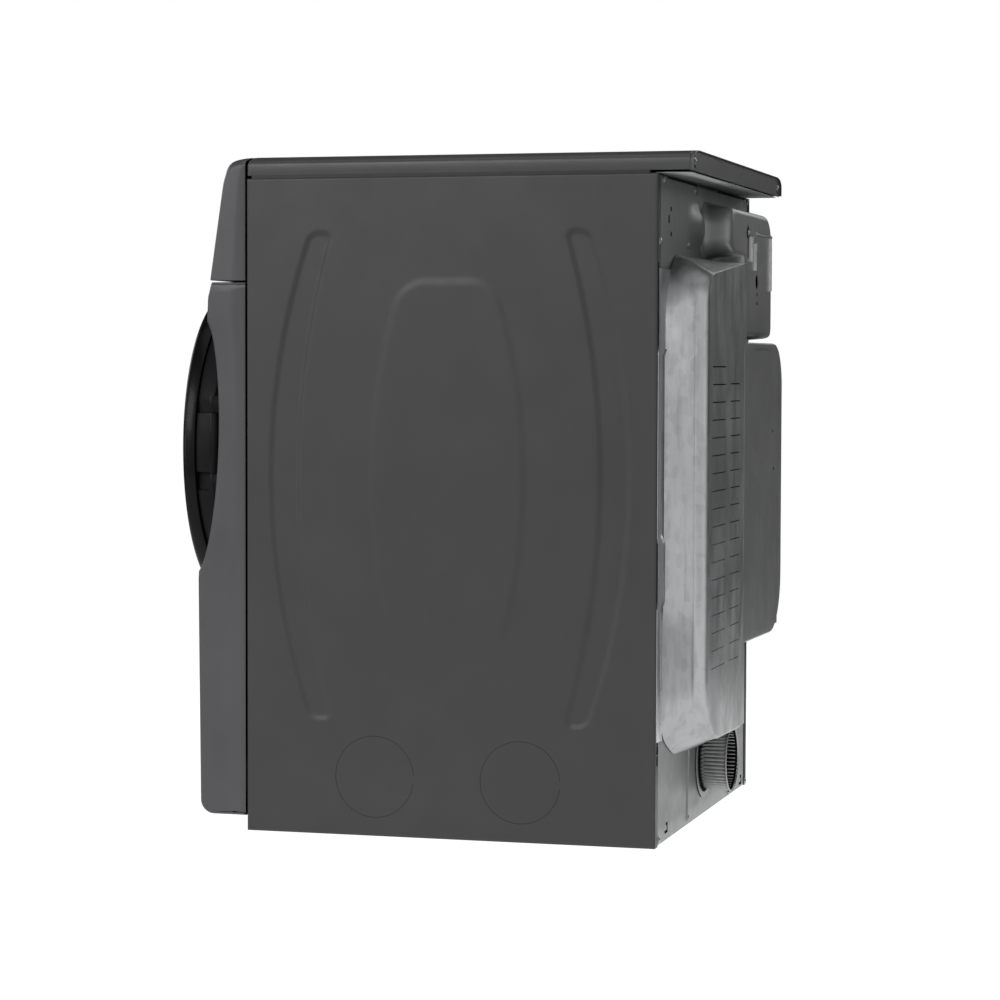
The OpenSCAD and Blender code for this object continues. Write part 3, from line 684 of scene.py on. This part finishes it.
def make_lid_details():
    """The lid's underside and seal over the rear sheet, and its closing plate with keyholes and screws."""
    under = [[(x, y, 950.9) for x in (-314, 340)] for y in (-4.0, 47.5)]
    thicken(Shape().sheet(under).make("lid_underside", "rear_steel", slot="cabinet_steel"), 0.8, 0.0)
    seal = Shape().block((-341, -3.5, 940), (341, -2.0, 950.8), 0.3)
    seal.make("lid_seal", "seal_and_groove_shade", slot="black_plastic")
    plate = [(x * 0.9965, z - 0.9) for x, z in lid_loop()[1:-1]]
    back = Shape().loft([[(x, y, z) for x, z in plate] for y in (LID_REAR - 7.0, PLATE_Y)])
    closing = back.make("lid_rear_plate", "lid_steel", replaces=("top_rear_plate",), slot="cabinet_steel",
                        sharp=30)
    round_edges(closing, 0.6, 2, 35)
    # The keyholes are dark shapes painted as the shade inside them.
    notches, screws = Shape(), Shape()
    for x in (-322, 322):
        notches.turned([(3.4, PLATE_Y - 0.1), (3.4, PLATE_Y + 0.2)], (x, 0, 960.5), segments=20)
        notches.block((x - 2.2, PLATE_Y - 0.1, 957.5), (x + 2.2, PLATE_Y + 0.25, 966), 0.2)
    for x in (-324, 324):
        screws.screw(x, 966.5, PLATE_Y - 0.1, 3.6, 2.4)
    notches.make("lid_keyholes", "dark_hole", slot="black_plastic")
    screws.make("lid_screws", "zinc_screw")


side_panel(1, "side_panel_right")
side_panel(-1, "side_panel_left")
make_lid()
make_lid_details()

# --- lower front panel

SEAM_LOW = 801.0
BOTTOM = 21.4
BACK_LINE = -613.0
END_ROUND = 5.0
DOOR_Z = 554.0
OPENING_R = 212.0


def front_y(z):
    """Where the front surface stands at a height: a slight forward lean with a shallow scoop at the door."""
    if z > 779:
        return -666.5 - (SEAM_LOW - z) * 0.25
    if z < 367:
        return -687.4 + (356 - z) * 2.7 / 294
    t = (z - 561) / 181
    return -672 - (779 - z) * 15.4 / 412 + 24 * max(0.0, 1 - t * t) ** 0.65


def front_profile():
    """From the bottom's rear edge round the front to the top's rear edge, as (y, z)."""
    radius = 21
    corner_y = front_y(BOTTOM + radius) + radius
    points = [(BACK_LINE, BOTTOM), (-630, BOTTOM), (-650, BOTTOM)]
    points += arc(corner_y, BOTTOM + radius, radius, 270, 180, 12)
    points += [(front_y(z), z) for z in span(BOTTOM + radius + 6, SEAM_LOW - 3, 6)]
    points += [(-666.4, SEAM_LOW - 1.2), (-665.4, SEAM_LOW - 0.2), (-663.5, SEAM_LOW), (-640, SEAM_LOW)]
    return points + [(BACK_LINE, SEAM_LOW)]


def stations(step):
    """Places across the front, close together where its ends turn round."""
    ends = [HALF_W - END_ROUND + END_ROUND * math.sin(math.radians(a)) for a in (0, 15, 30, 45, 60, 75, 90)]
    return [-x for x in reversed(ends)] + span(-HALF_W + 20, HALF_W - 20, step) + ends


def end_inset(x):
    over = abs(x) - (HALF_W - END_ROUND)
    return END_ROUND - math.sqrt(max(0.0, END_ROUND ** 2 - over ** 2)) if over > 0 else 0.0


def swept_front(profile, places, settle):
    """Rows across the machine with end walls; settle(x, y, z) moves a profile point in for its place."""
    rows = [[settle(x, y, z) for y, z in profile] for x in places]
    walls = []
    for end in (rows[0], rows[-1]):
        walls.append([[(x, y + (BACK_LINE - y) * t, z) for x, y, z in end] for t in (0.5, 1.0)])
    return Shape().sheet(walls[0][::-1] + rows + walls[1])


def make_front_panel():
    def settle(x, y, z):
        inset = end_inset(x)
        if z < 50:
            away = math.hypot(y + 640, 50 - z)
            return (x, y + (-640 - y) / away * inset, z + (50 - z) / away * inset)
        return (x, min(y + inset, BACK_LINE), z - inset * 0.5 * (z > SEAM_LOW - 2))

    shape = swept_front(front_profile(), stations(24), settle)
    panel = shape.make("front_panel", "front_paint", replaces=("front_panel",), sharp=40)
    line_inside(panel, 1.2, (0, -1, 0), even=False)
    opening = Shape().turned([(OPENING_R, -720), (OPENING_R, -600)], (0, 0, DOOR_Z), segments=128)
    latch_slot = Shape().block((-233, -700, DOOR_Z - 10), (-223, -600, DOOR_Z + 10), 2)
    cut(panel, opening, latch_slot)
    for vertex in panel.data.vertices:
        vertex.co.x = min(max(vertex.co.x, -HALF_W * MM), HALF_W * MM)


def opening_lip():
    """The rolled edge inside the door opening."""
    rows = []
    for inset, back in ((0, 0.4), (1.4, 2.0), (1.8, 5.0), (1.8, 60.0)):
        row = []
        for a in around(128):
            r = OPENING_R - inset
            y = min(front_y(DOOR_Z + OPENING_R * math.sin(a)) + back, -654)
            row.append((r * math.cos(a), y, DOOR_Z + r * math.sin(a)))
        rows.append(row)
    lip = Shape().sheet(rows, loop=True).make("opening_lip", "front_paint", sharp=60)
    thicken(lip, 0.9, 0.0)


# --- control panel

FASCIA_FOOT = (-668.7, 803.0)
LEAN = math.radians(8.3)
MIDDLE_UP = 84
POWER_X = 285
OPTION_XS = (-215, -160, -105)
CUT_THROUGH = (-8, 6)
INSERT_TOP = 1.6
WINDOW_TOP = 2.4


def fascia(x, up, out=0.0):
    """A point on the sloping fascia: across, up the slope, out of it."""
    y0, z0 = FASCIA_FOOT
    across, upright = math.sin(LEAN), math.cos(LEAN)
    return (x, y0 + up * across - out * upright, z0 + up * upright + out * across)


def control_profile():
    low = 803.5
    points = [(BACK_LINE, low), (-640, low), (-666.2, low), (-667.8, low + 0.5), (-668.5, low + 1.8)]
    points += [fascia(0, up)[1:] for up in span(4, 166, 6)]
    points += [(-643.6, 971.6), (-641.6, 975.0), (-638.6, 977.8), (-634.6, 979.6), (-629, 981.0)]
    return points + [(-621, 982.2), (BACK_LINE, 982.8)]


def make_control_panel():
    def settle(x, y, z):
        inset = end_inset(x)
        drop = lid_drop(x) * smooth((z - 940) / 36)
        return (x, min(y + inset + drop * 0.25 * (y < -620), BACK_LINE), z - drop)

    shoulders = [side * (HALF_W - d) for side in (-1, 1) for d in (45, 38, 32, 26, 20, 15, 11, 8)]
    shape = swept_front(control_profile(), sorted(set(stations(30) + shoulders)), settle)
    panel = shape.make("control_panel", "front_paint", replaces=("control_panel",), slot="panel_plastic",
                       sharp=40)
    line_inside(panel, 1.5, (0, -1, 0), even=False)
    cut(panel, *round_holes())


def round_holes():
    """Cutters for the power and start buttons and the knob's shaft."""
    holes = []
    for x, r in ((-POWER_X, 14.5), (POWER_X, 14.5), (0, 8)):
        circle = arc(x, MIDDLE_UP, r, 0, 352.5, 47)
        holes.append(Shape().loft([[fascia(*point, out) for point in circle] for out in CUT_THROUGH]))
    return holes


def fascia_box(shape, x, up, half_x, half_up, outs):
    """Adds a box standing on the fascia round a point, between two heights above it."""
    corners = ((-half_x, -half_up), (half_x, -half_up), (half_x, half_up), (-half_x, half_up))
    return shape.loft([[fascia(x + a, up + b, out) for a, b in corners] for out in outs])


def fascia_plate(name, x0, x1, up0, up1, radius, low, high, look, **options):
    """A thin plate with round corners and a softened rim lying on the fascia."""
    rings = []
    rim = min(0.5, (high - low) / 2)
    for inset, out in ((0, low), (0, high - rim), (rim * 0.3, high - rim * 0.3), (rim, high)):
        outline = rounded_outline(x0 + inset, x1 - inset, up0 + inset, up1 - inset, (radius,) * 4)
        rings.append([fascia(x, up, out) for x, up in outline])
    return Shape().loft(rings).make(name, look, **options)


def make_fascia():
    """The glossy insert, the display's window and their printed ticks and segments."""
    insert = fascia_plate("fascia_insert", -312, 312, 30, 138, 12, 0.0, INSERT_TOP, "black_gloss",
                          replaces=("fascia_insert",), sharp=30)
    option_holes = [fascia_box(Shape(), x, MIDDLE_UP, 19.5, 7, CUT_THROUGH) for x in OPTION_XS]
    cut(insert, *round_holes(), *option_holes)
    fascia_plate("display_window", 66, 226, 60, 108, 5, INSERT_TOP, WINDOW_TOP, "display",
                 replaces=("display_window",), sharp=30)
    marks = Shape()
    printed = (INSERT_TOP, INSERT_TOP + 0.06)
    for i in range(11):
        a = math.radians(210 - 30 * i)
        u, v = math.cos(a), math.sin(a)
        corners = [(38, -0.5), (42, -0.5), (42, 0.5), (38, 0.5)]
        tick = [(r * u - t * v, MIDDLE_UP + r * v + t * u) for r, t in corners]
        marks.loft([[fascia(*point, out) for point in tick] for out in printed])
    for x in OPTION_XS:
        fascia_box(marks, x, MIDDLE_UP + 16, 5, 0.6, printed)
    segments = [(0, up, 4.2, 0.7) for up in (0, 11, 22)]
    segments += [(x, up, 0.7, 4.2) for up in (5.5, 16.5) for x in (-6, 6)]
    for digit_x in (108, 138, 168):
        for x, up, half_x, half_up in segments:
            fascia_box(marks, digit_x + x, 73 + up, half_x, half_up, (WINDOW_TOP, WINDOW_TOP + 0.06))
    marks.make("fascia_marks", "mark", slot="grey_plastic", sharp=30)


def make_knob():
    """A turned metal knob with a fluted grip, a dished face and a pointer line."""
    flutes = 40
    rings = []
    profile = [(5, -10.5, 0), (5, 2.4, 0), (32.2, 2.4, 0), (33, 3.0, 0), (33, 4.6, 0), (31.6, 5.2, 0),
               (30.2, 6.4, 0.7), (29.6, 22.0, 0.7), (29.0, 24.4, 0.2), (27.6, 25.8, 0), (25.6, 26.1, 0),
               (24.0, 25.2, 0), (12, 24.7, 0)]
    for r, out, flute in profile:
        ring = []
        for a in around(3 * flutes):
            radius = r - flute * (0.5 + 0.5 * math.cos(flutes * a))
            ring.append(fascia(radius * math.cos(a), MIDDLE_UP + radius * math.sin(a), out))
        rings.append(ring)
    Shape().loft(rings).make("knob", "knob_metal", body="knob", replaces=("knob",), sharp=40)
    pointer = fascia_box(Shape(), 0, MIDDLE_UP + 17.5, 0.9, 5.5, (24.6, 25.35))
    pointer.make("knob_pointer", "mark", body="knob", slot="grey_plastic", sharp=30)


make_front_panel()
opening_lip()
make_control_panel()
make_fascia()
make_knob()

# --- door

DOOR_R = 244.0
RIM_Y = -751.0
RING_BACK = -731.0
DOME = 11.0


def bow(x, y):
    """The door's face bows forward across its width; the back stays flat."""
    share = min(max((RING_BACK - y) / (RING_BACK - RIM_Y), 0.0), 1.0)
    return y - share * DOME * (1 - (x / DOOR_R) ** 2)


def door_turned(profile):
    """A profile of (radius, y) points turned about the door's axis and bowed with its face."""
    rings = []
    for r, y in profile:
        circle = [(r * math.cos(a), r * math.sin(a)) for a in around(160)]
        rings.append([(x, bow(x, y), DOOR_Z + up) for x, up in circle])
    return Shape().loft(rings, cap=False)


def make_door():
    """The glossy band, the ring behind it with the hinge's notches, the lens and the bowl."""
    band = [(179, -744), (178.6, -750.2), (179.4, -751.0), (200, -751), (222, -751), (236, -750.9),
            (240, -750.4), (242.4, -749.2), (243.7, -747.0), (244, -744), (244, -733), (243.1, -731.4),
            (241.5, -731), (226, -731), (196, -731.5), (179, -744)]
    door_turned(band).make("door_band", "black_gloss", body="door", replaces=("door_ring",), sharp=32)
    back = [(226, -730.9), (237.6, -730.9), (238.6, -730.4), (239, -729), (239, -708), (238.4, -705.5),
            (236, -703.6), (233.5, -702.4), (231, -697.5), (229, -697), (224.8, -697), (224.8, -712),
            (226, -730.9)]
    ring = door_turned(back).make("door_ring", "ring_plastic", body="door", slot="black_gloss", sharp=32)
    cut(ring, *(Shape().block((227, -730, z), (250, -690, z + 28), 1) for z in (492, 608)))
    lens = [(0.01, -751), (60, -751), (120, -751), (170, -751), (176.6, -750.8), (177.8, -750.0),
            (177.8, -746), (120, -746), (60, -746), (0.01, -746)]
    door_turned(lens).make("door_lens", "door_glass", body="door", replaces=("door_glass",), sharp=35)
    bowl = [(0.01, -646), (120, -646), (152, -646.2), (160, -647.2), (165.5, -650.5), (168.5, -655),
            (186, -681), (191, -688), (196.8, -692.5), (197, -706), (192.2, -706), (192, -694), (187, -690),
            (182, -683), (164.6, -657), (161, -652.4), (156, -650.6), (150, -650), (120, -650), (0.01, -650)]
    glass = Shape().turned(bowl, (0, 0, DOOR_Z), segments=128, cap=False)
    glass.make("door_bowl", "bowl_glass", body="door", replaces=("door_bowl",), sharp=40)


make_door()

# --- back of the cabinet

SPIGOT_Z = 87.0
SPIGOT_R = 50.0
FACE_Y = 59.0
DUCT_Y = 66.8
TERMINAL_Y = 44.0


def between(value, low, high):
    """0 below low, 1 above high, smooth in between."""
    return smooth((value - low) / (high - low))


def sheet_rise(x, z):
    """Relief pressed into the rear sheet's upper part, outwards."""
    height = between(z, 842, 880) * (1 - between(z, 890, 922))
    mound = 11.0 * (1 - between(x, 66, 150)) * between(x, 53, 64) * height
    ridge = 2.4 * max(0.0, 1 - abs(x - 48) / 3.5) * between(z, 866, 878) * (1 - between(z, 902, 912))
    return mound + ridge


def make_rear_sheet():
    """The rear sheet with its relief, the duct's outlet and the wide passage under the drum's cover."""
    w = HALF_W - 2.5
    zs = span(1.5, 820, 24) + span(824, 920, 4) + span(922, 934, 1.5) + span(937, SIDE_H - 1.5, 4)
    xs = span(-w, -286, 2) + span(-280, 18, 6) + span(20, 68, 2) + span(72, w, 6)
    rows = [[(x, -1.0 + sheet_rise(x, z), z) for x in xs] for z in zs]
    shape = Shape().sheet(rows)
    sheet = shape.make("rear_sheet", "rear_steel", replaces=("rear_panel",), slot="cabinet_steel", sharp=50)
    line_inside(sheet, 1.0, (0, 1, 0))
    outlet = Shape().turned([(SPIGOT_R + 2, -20), (SPIGOT_R + 2, 20)], (0, 0, SPIGOT_Z), segments=64)
    middle = rounded_outline(-40, 280, 260, 800, (40, 40, 40, 40))
    passage = Shape().loft([[(x, y, z) for x, z in middle] for y in (-20, 20)])
    cut(sheet, outlet, passage)


BEAD_STEPS = ((140, 313), (337, 316), (347, 297), (430, 298), (440, 315), (560, 313), (692, 312), (706, 290),
              (760, 290), (800, 268), (829, 232))


def follow(z, steps):
    """A value interpolated along a table of (height, value)."""
    for (z0, v0), (z1, v1) in zip(steps, steps[1:]):
        if z <= z1:
            return v0 + (v1 - v0) * min(max((z - z0) / (z1 - z0), 0.0), 1.0)
    return steps[-1][1]


COVER_RISE = ((0, 0.2), (1.2, 1.4), (3.5, 3.8), (12, 13), (20, 22.6), (28, 32), (33.8, 39.4), (35.4, 40.6),
              (38.8, 47), (41.4, 52.4), (43.0, 55.6), (45.2, 57.8), (49, FACE_Y), (51, FACE_Y))
SIDE_LEVELS = (235, 255, 275, 290, 305, 320, 335, 350, 370, 400, 440, 480, 520, 560, 600, 640, 680, 705, 730)


def cover_ring(inset, y):
    """One contour of the drum's rear cover: wide round corners below, tighter above."""
    fall = 24 * (y / FACE_Y) ** 1.3
    corners = (100 - inset * 0.2, 100 - inset * 1.35, max(52 - inset, 1), max(52 - inset, 1))
    points = rounded_outline(-62 + inset, 313 - inset, 112 + inset * 0.6, 841 - 0.1 * inset, corners, 14)
    points = points[:15] + [(313 - inset, z) for z in SIDE_LEVELS] + points[15:]
    keep = max(0.0, 1 - inset / 41)
    ring = []
    for x, z in points:
        jog = -17 * between(z, 270, 350) * keep * between(x, 200, 260)
        dip = 0.11 * (min(x, 260) - 150) * (1 - between(z, 112, 160)) * between(x, -60, 60)
        lower = fall * between(x, -40, 260) * between(z, 640, 841)
        ring.append((x + jog, y, z + dip - lower))
    return ring


def subdivided(points, parts):
    """The same polyline with every stretch split into equal parts."""
    split = []
    for start, end in zip(points, points[1:]):
        split += [tuple(a + (b - a) * i / parts for a, b in zip(start, end)) for i in range(parts)]
    return split


def make_drum_cover():
    """The bulged tray over the drum's rear air channel, with two columns of louvre slits."""
    rings = [cover_ring(*step) for step in subdivided(COVER_RISE, 2) + [COVER_RISE[-1]]]
    shape = Shape().pan(rings)
    cover = shape.make("drum_cover", "rear_bulge", replaces=("drum_rear_cover",), slot="galvanised", sharp=28)
    line_inside(cover, 1.0, (0, 1, 0), even=False)
    cuts = Shape()
    for row in range(18):
        z = 679 - 25.5 * row
        tall = 1.8 - 0.05 * row
        cuts.block((143, FACE_Y - 6, z), (240, FACE_Y + 5, z + tall), 0.3)
        if row:
            cuts.block((38 - 5 * (row > 1), FACE_Y - 6, z + 0.4), (108, FACE_Y + 5, z + 0.4 + tall), 0.3)
    cuts.turned([(SPIGOT_R + 3, -20), (SPIGOT_R + 3, 80)], (0, 0, SPIGOT_Z), segments=64)
    cut(cover, cuts)


def strip(name, path, section, look, **options):
    """A section of (across, out) points carried up a path of (x, y, z); across runs towards +x."""
    rows = [[(x + a, y + o, z) for a, o in section] for x, y, z in path]
    shape = Shape().sheet(rows)
    shape.faces.append(tuple(range(len(section))))
    shape.faces.append(tuple(range(len(shape.verts) - len(section), len(shape.verts))))
    return shape.make(name, look, **options)


def make_edge_bead():
    """The folded strip between the side panel and the drum's cover, stepping in where the panel is open; its
    bright galvanised look is partly the zinc's own colour and partly a painted highlight along the fold.
    """
    fold = ((4, 1.5), (2.2, 2.8), (0, 3.3), (-2.2, 2.6), (-3.6, 1.2), (-4.4, -0.6))
    rows = []
    for z in span(150, 818, 4):
        bead = follow(z, BEAD_STEPS)
        opened = between(z, 338, 346) * (1 - between(z, 432, 440)) + between(z, 700, 708)
        outer = 337.5 - 6.0 * opened
        row = [(outer, -0.6, z), (outer, 0.9, z), (outer - 1.5, 1.3, z)]
        rows.append(row + [(bead + across, out, z) for across, out in fold])
    Shape().sheet(rows).make("edge_strip", "galvanised", sharp=30)


def make_crease():
    """The raised fold that wanders down the drum cover's face beside the duct cover."""
    path = [(-15, 719), (-22, 640), (-24.5, 560), (-25.5, 490), (-20, 455), (-8, 405), (4, 362), (17.6, 328),
            (28, 294), (36, 268)]
    rows = [(x, FACE_Y, z) for x, z in subdivided(path, 4)]
    section = [(2.2, 0.0), (1.6, 0.9), (0, 1.3), (-3, 1.1), (-4, 0.0)]
    strip("cover_crease", rows, section, "rear_steel", slot="cabinet_steel", sharp=60)


def make_duct_cover():
    """A flat-faced cover whose near side rises gently while its other sides fall steeply."""
    x0, x1, z0, z1 = -283, 3, 262, 717
    far_inset, squeeze = 40, 0.3

    def rise(x, fall):
        near = DUCT_Y + (FACE_Y + 0.3 - DUCT_Y) * between(x, x1 - 110, x1)
        return min(DUCT_Y - fall, near)

    rings = [[(x, 0.0, z) for x, z in rounded_outline(x0, x1, z0, z1, (14, 14, 74, 96), 10)]]
    steps = ((0.3, 24), (0.8, 10), (1.6, 5), (3, 2.4), (5.5, 0.8), (9, 0.1), (14, 0.0), (far_inset, 0.0))
    for inset, fall in steps:
        radii = [max(r - inset, 0.5) for r in (14, 14, 74, 96)]
        low, high = z0 + inset * squeeze, z1 - inset * squeeze
        outline = rounded_outline(x0 + inset, x1 - inset, low, high, radii, 10)
        rings.append([(x, rise(x, fall), z) for x, z in outline])
    rim = Shape().loft(rings, cap=False)
    rim.make("duct_cover", "cover_steel", replaces=("rear_duct_cover",), slot="dark_cover", sharp=32)
    columns = span(x0 + far_inset, x1 - far_inset, 6)
    levels = (z0 + far_inset * squeeze, z1 - far_inset * squeeze)
    face = Shape().sheet([[(x, rise(x, 0.0) - 0.15, z) for x in columns] for z in levels])
    face.make("duct_cover_face", "cover_steel", slot="dark_cover", sharp=60)


def spigot_ring(name, profile, look, slot, sharp):
    ring = Shape().turned(profile, (0, 0, SPIGOT_Z), segments=96, cap=False)
    ring.make(name, look, slot=slot, sharp=sharp)


def make_spigot():
    """Crimped exhaust spigot: a flange, a ribbed sleeve with a rolled rim, a dark ring painted as the shade
    of the gap and a dark lining painted as the shade inside the sleeve.
    """
    r = SPIGOT_R
    flange = [(r - 2, 0.2), (r + 10.2, 0.2), (r + 10.8, 0.7), (r + 10, 1.3), (r + 4, 1.4), (r - 2, 1.4)]
    spigot_ring("spigot_flange", flange, "rear_steel", "galvanised", 40)
    ribs = 50
    rings = []
    profile = [(-1, 45.5, 0), (2.5, 46.0, 0), (4.5, 46.8, 0.0), (7.5, 47.8, 0.6), (10, 48.4, 1),
               (24, 48.6, 1), (38, 48.8, 1), (41.2, 49.0, 0.5), (42.4, 49.4, 0.1), (43.4, 49.7, 0),
               (44.2, 49.3, 0), (44.3, 48.4, 0), (43.2, 47.8, 0), (38, 47.2, 0.9), (10, 46.8, 0.9),
               (-1, 45.0, 0)]
    for y, radius, crimped in profile:
        ring = []
        for a in around(ribs * 10):
            wave = 0.5 - 0.5 * math.cos(ribs * a)
            reach = radius - 2.4 * crimped * (1 - wave ** 0.6)
            ring.append((reach * math.cos(a), y, SPIGOT_Z + reach * math.sin(a)))
        rings.append(ring)
    sleeve = Shape().sheet(rings, loop=True)
    sleeve.make("spigot_sleeve", "spigot_zinc", slot="galvanised", replaces=("exhaust_spigot",), sharp=70)
    # A dark ring painted as the shade in the gap, and a dark tube painted as the shade inside the sleeve.
    gap = [(r + 2.2, 1.3), (r + 2.2, 1.75), (45.6, 1.9), (45.6, 1.3)]
    inner_shade = [(46.4, -1), (46.4, 42.6), (45.9, 42.6), (45.9, -1)]
    spigot_ring("spigot_gap", gap, "dark_hole", "black_plastic", 60)
    spigot_ring("spigot_inner_shade", inner_shade, "dark_hole", "black_plastic", 60)


def make_heater_box():
    """The heater's channel inside the drum's cover, its lower outer corner cut back, open at both ends."""
    rings = []
    for z, x1 in ((175, 238), (190, 250), (206, 259), (222, 264), (620, 264)):
        rings.append([(x, y, z) for x, y in rounded_outline(104, x1, 6, 52, (3, 3, 3, 3), 3)])
    shape = Shape().loft(rings, cap=False)
    channel = shape.make("heater_channel", "galvanised", replaces=("heater_housing",), sharp=30)
    thicken(channel, 0.8, -1.0)
    cut(channel, *(Shape().block((134, 4, z), (234, 9, z + 10), 1) for z in range(230, 511, 40)))


def make_rear_details():
    """Slits, holes, the rib and screws of the back; the slits, holes and gaps are dark blocks painted as the
    shade inside them.
    """
    # Dark blocks painted as the shade inside the slits, holes and gaps.
    dark = Shape()
    for x0, x1 in ((72, 274), (-298, -86)):
        dark.block((x0, -1.1, 946.6), (x1, -0.75, 948.6), 0.1)
        dark.block((x0 - 1.3, -1.1, 934), (x0 + 1.3, -0.75, 948.6), 0.1)
    for x, z, tall in ((252, 904.5, 6), (265, 889.5, 11), (251, 869, 6)):
        dark.block((x - 3.2, -1.1, z - tall / 2), (x + 3.2, -0.6, z + tall / 2), 0.1)
    for z0, z1 in ((708, 826), (347, 431)):
        dark.block((332.5, -0.4, z0), (338.5, 0.18, z1), 0.1)
    for z0, z1, wide in ((146, 157, 8), (132, 145, 10), (116, 130, 8)):
        dark.block((334 - wide, -0.4, z0), (334, 0.2, z1), 0.4)
    for x, z in ((263, 18), (-296, 12)):
        dark.block((x - 9, -1.1, z - 7), (x + 9, -0.7, z - 3), 0.1)
        dark.block((x - 9, -1.1, z - 7), (x - 5, -0.7, z + 8), 0.1)
        dark.block((x - 9, -1.1, z + 4), (x + 1, -0.7, z + 8), 0.1)
    dark.turned([(2.6, -1.1), (2.6, -0.7)], (110, 0, 12), segments=20)
    dark.make("rear_slots", "dark_hole", slot="black_plastic")
    rib = [(122 - 0.12 * (z - 6), -1.0, z) for z in span(8, 112, 8)]
    strip("rear_rib", rib, [(2.2, 0.0), (1.3, 1.5), (-0.6, 1.9), (-2.0, 1.2), (-2.6, 0.0)], "rear_steel",
          slot="cabinet_steel", sharp=50)
    screws = Shape()
    for x, z, y in ((298, 944, -1.0), (-322, 945, 0.0), (328, 856, 0.0), (134, 857, -1.0), (312, 8, -1.0),
                    (-330, 6, 0.0), (-196, 6, -1.0), (88, 940, -1.0)):
        screws.screw(x, z, y, 3.6, 2.4)
    for x, z, y in ((-164, 885, TERMINAL_Y), (-98, 885, TERMINAL_Y + 0.3)):
        screws.screw(x, z, y, 3.2, 2.2)
    screws.make("rear_screw_heads", "zinc_screw", replaces=("rear_screws",))


def filleted(corners):
    """A closed outline from right-angled corners of (x, z, radius)."""
    points = []
    places = [Vector(corner[:2]) for corner in corners]
    for i, (_, _, r) in enumerate(corners):
        before = (places[i] - places[i - 1]).normalized()
        after = (places[(i + 1) % len(places)] - places[i]).normalized()
        centre = places[i] + (after - before) * r
        for step in range(9):
            turn = math.pi / 16 * step
            points.append(tuple(centre - after * r * math.cos(turn) + before * r * math.sin(turn)))
    return points


TERMINAL_RISE = ((0, -0.9), (0.6, 0.1), (3, 1.0), (6, 3.0), (8.2, 7), (9.6, 14), (10.6, 24), (11.6, 32),
                 (13.2, 38), (15.6, 41.6), (19, 43.5), (24, TERMINAL_Y), (25.5, TERMINAL_Y))


def make_terminal_lid():
    """The mains terminal box: a tall part beside the drum's cover with an arm reaching over it."""
    rings = []
    for inset, y in TERMINAL_RISE:
        far, middle, near = -300 + inset * 0.2, -72 - inset, 45 - inset
        low, step, high = 716 + inset * 0.72, 838 + inset * 0.72, 928 - inset * 0.72
        corners = [(far, low, 10), (middle, low, 10), (middle, step, 10 + inset), (near, step, 26),
                   (near, high, 40 - inset), (far, high, 62 - inset)]
        rings.append([(x, y, z) for x, z in filleted(corners)])
    shape = Shape().pan(rings)
    lid = shape.make("terminal_lid", "cover_steel", replaces=("terminal_cover",), slot="dark_cover", sharp=40)
    line_inside(lid, 1.0, (0, 1, 0), even=False)
    cut(lid, Shape().turned([(11, 30), (11, 50)], (-174, 0, 812), segments=48))


def make_terminal_details():
    """Folds, slots and holes of the mains terminal cover and the pin across it: the folds are bright strips
    painted as highlights on bent edges, the slots and holes dark shapes painted as the shade inside them.
    """
    # Dark blocks and rings painted as the shade inside slots and holes.
    dark = Shape()
    for x, half, z0, z1 in ((-99, 2.6, 846, 876), (-176, 3.0, 790, 795), (-176, 3.2, 776, 781)):
        dark.block((x - half, TERMINAL_Y - 1, z0), (x + half, TERMINAL_Y + 0.3, z1), 0.2)
    dark.turned([(12, TERMINAL_Y - 1), (12, TERMINAL_Y + 0.5)], (-98, 0, 885), segments=4)
    for x, z in ((-196, 579), (-205, 520)):
        dark.turned([(2.2, DUCT_Y - 1), (2.2, DUCT_Y + 0.2)], (x, 0, z), segments=16)
    dark.make("terminal_slots", "dark_hole", slot="black_plastic")
    # Bright strips painted as highlights on the cover's bent edges.
    light = Shape()
    for x, z0, z1 in ((-121, 842, 880), (-152, 829, 871), (-281, 800, 884)):
        light.block((x - 0.9, TERMINAL_Y - 1, z0), (x + 0.9, TERMINAL_Y + 4.0, z1), 0.3)
    light.make("terminal_fold_highlights", "bright_steel", slot="galvanised", sharp=40)
    rod = Shape().turned([(1.0, -160), (1.0, -286), (2.4, -287), (2.4, -291), (1.6, -292)],
                         (0, TERMINAL_Y + 0.6, 886), "x", 16)
    rod.make("terminal_pin", "rear_steel", slot="cabinet_steel", sharp=40)


make_rear_sheet()
make_drum_cover()
make_edge_bead()
make_crease()
make_duct_cover()
make_terminal_lid()
make_terminal_details()
make_spigot()
make_heater_box()
make_rear_details()

# --- the CAD's own pieces

SLOT_LOOK = {"cabinet_steel": "rear_steel"}
# hinge_steel on these parts partly paints the shade in the door's notches.
NODE_LOOK = {"hinge_bracket": "hinge_steel", "door_latch": "hinge_steel"}


def finish_nodes():
    """CAD nodes that stay get soft edges and their slot's material."""
    slots = {p["node"]: p["material_slot"] for p in frame["record"]["subparts"]}
    for name, node in frame["nodes"].items():
        if node.hide_render:
            continue
        look = NODE_LOOK.get(name, SLOT_LOOK.get(slots[name], slots[name]))
        node.data.materials.clear()
        node.data.materials.append(LOOKS[look])
        for face in node.data.polygons:
            face.use_smooth = True
        weld = node.modifiers.new("weld", "WELD")
        weld.merge_threshold = 0.00002
        round_edges(node, 0.35, 1, 40)


finish_nodes()
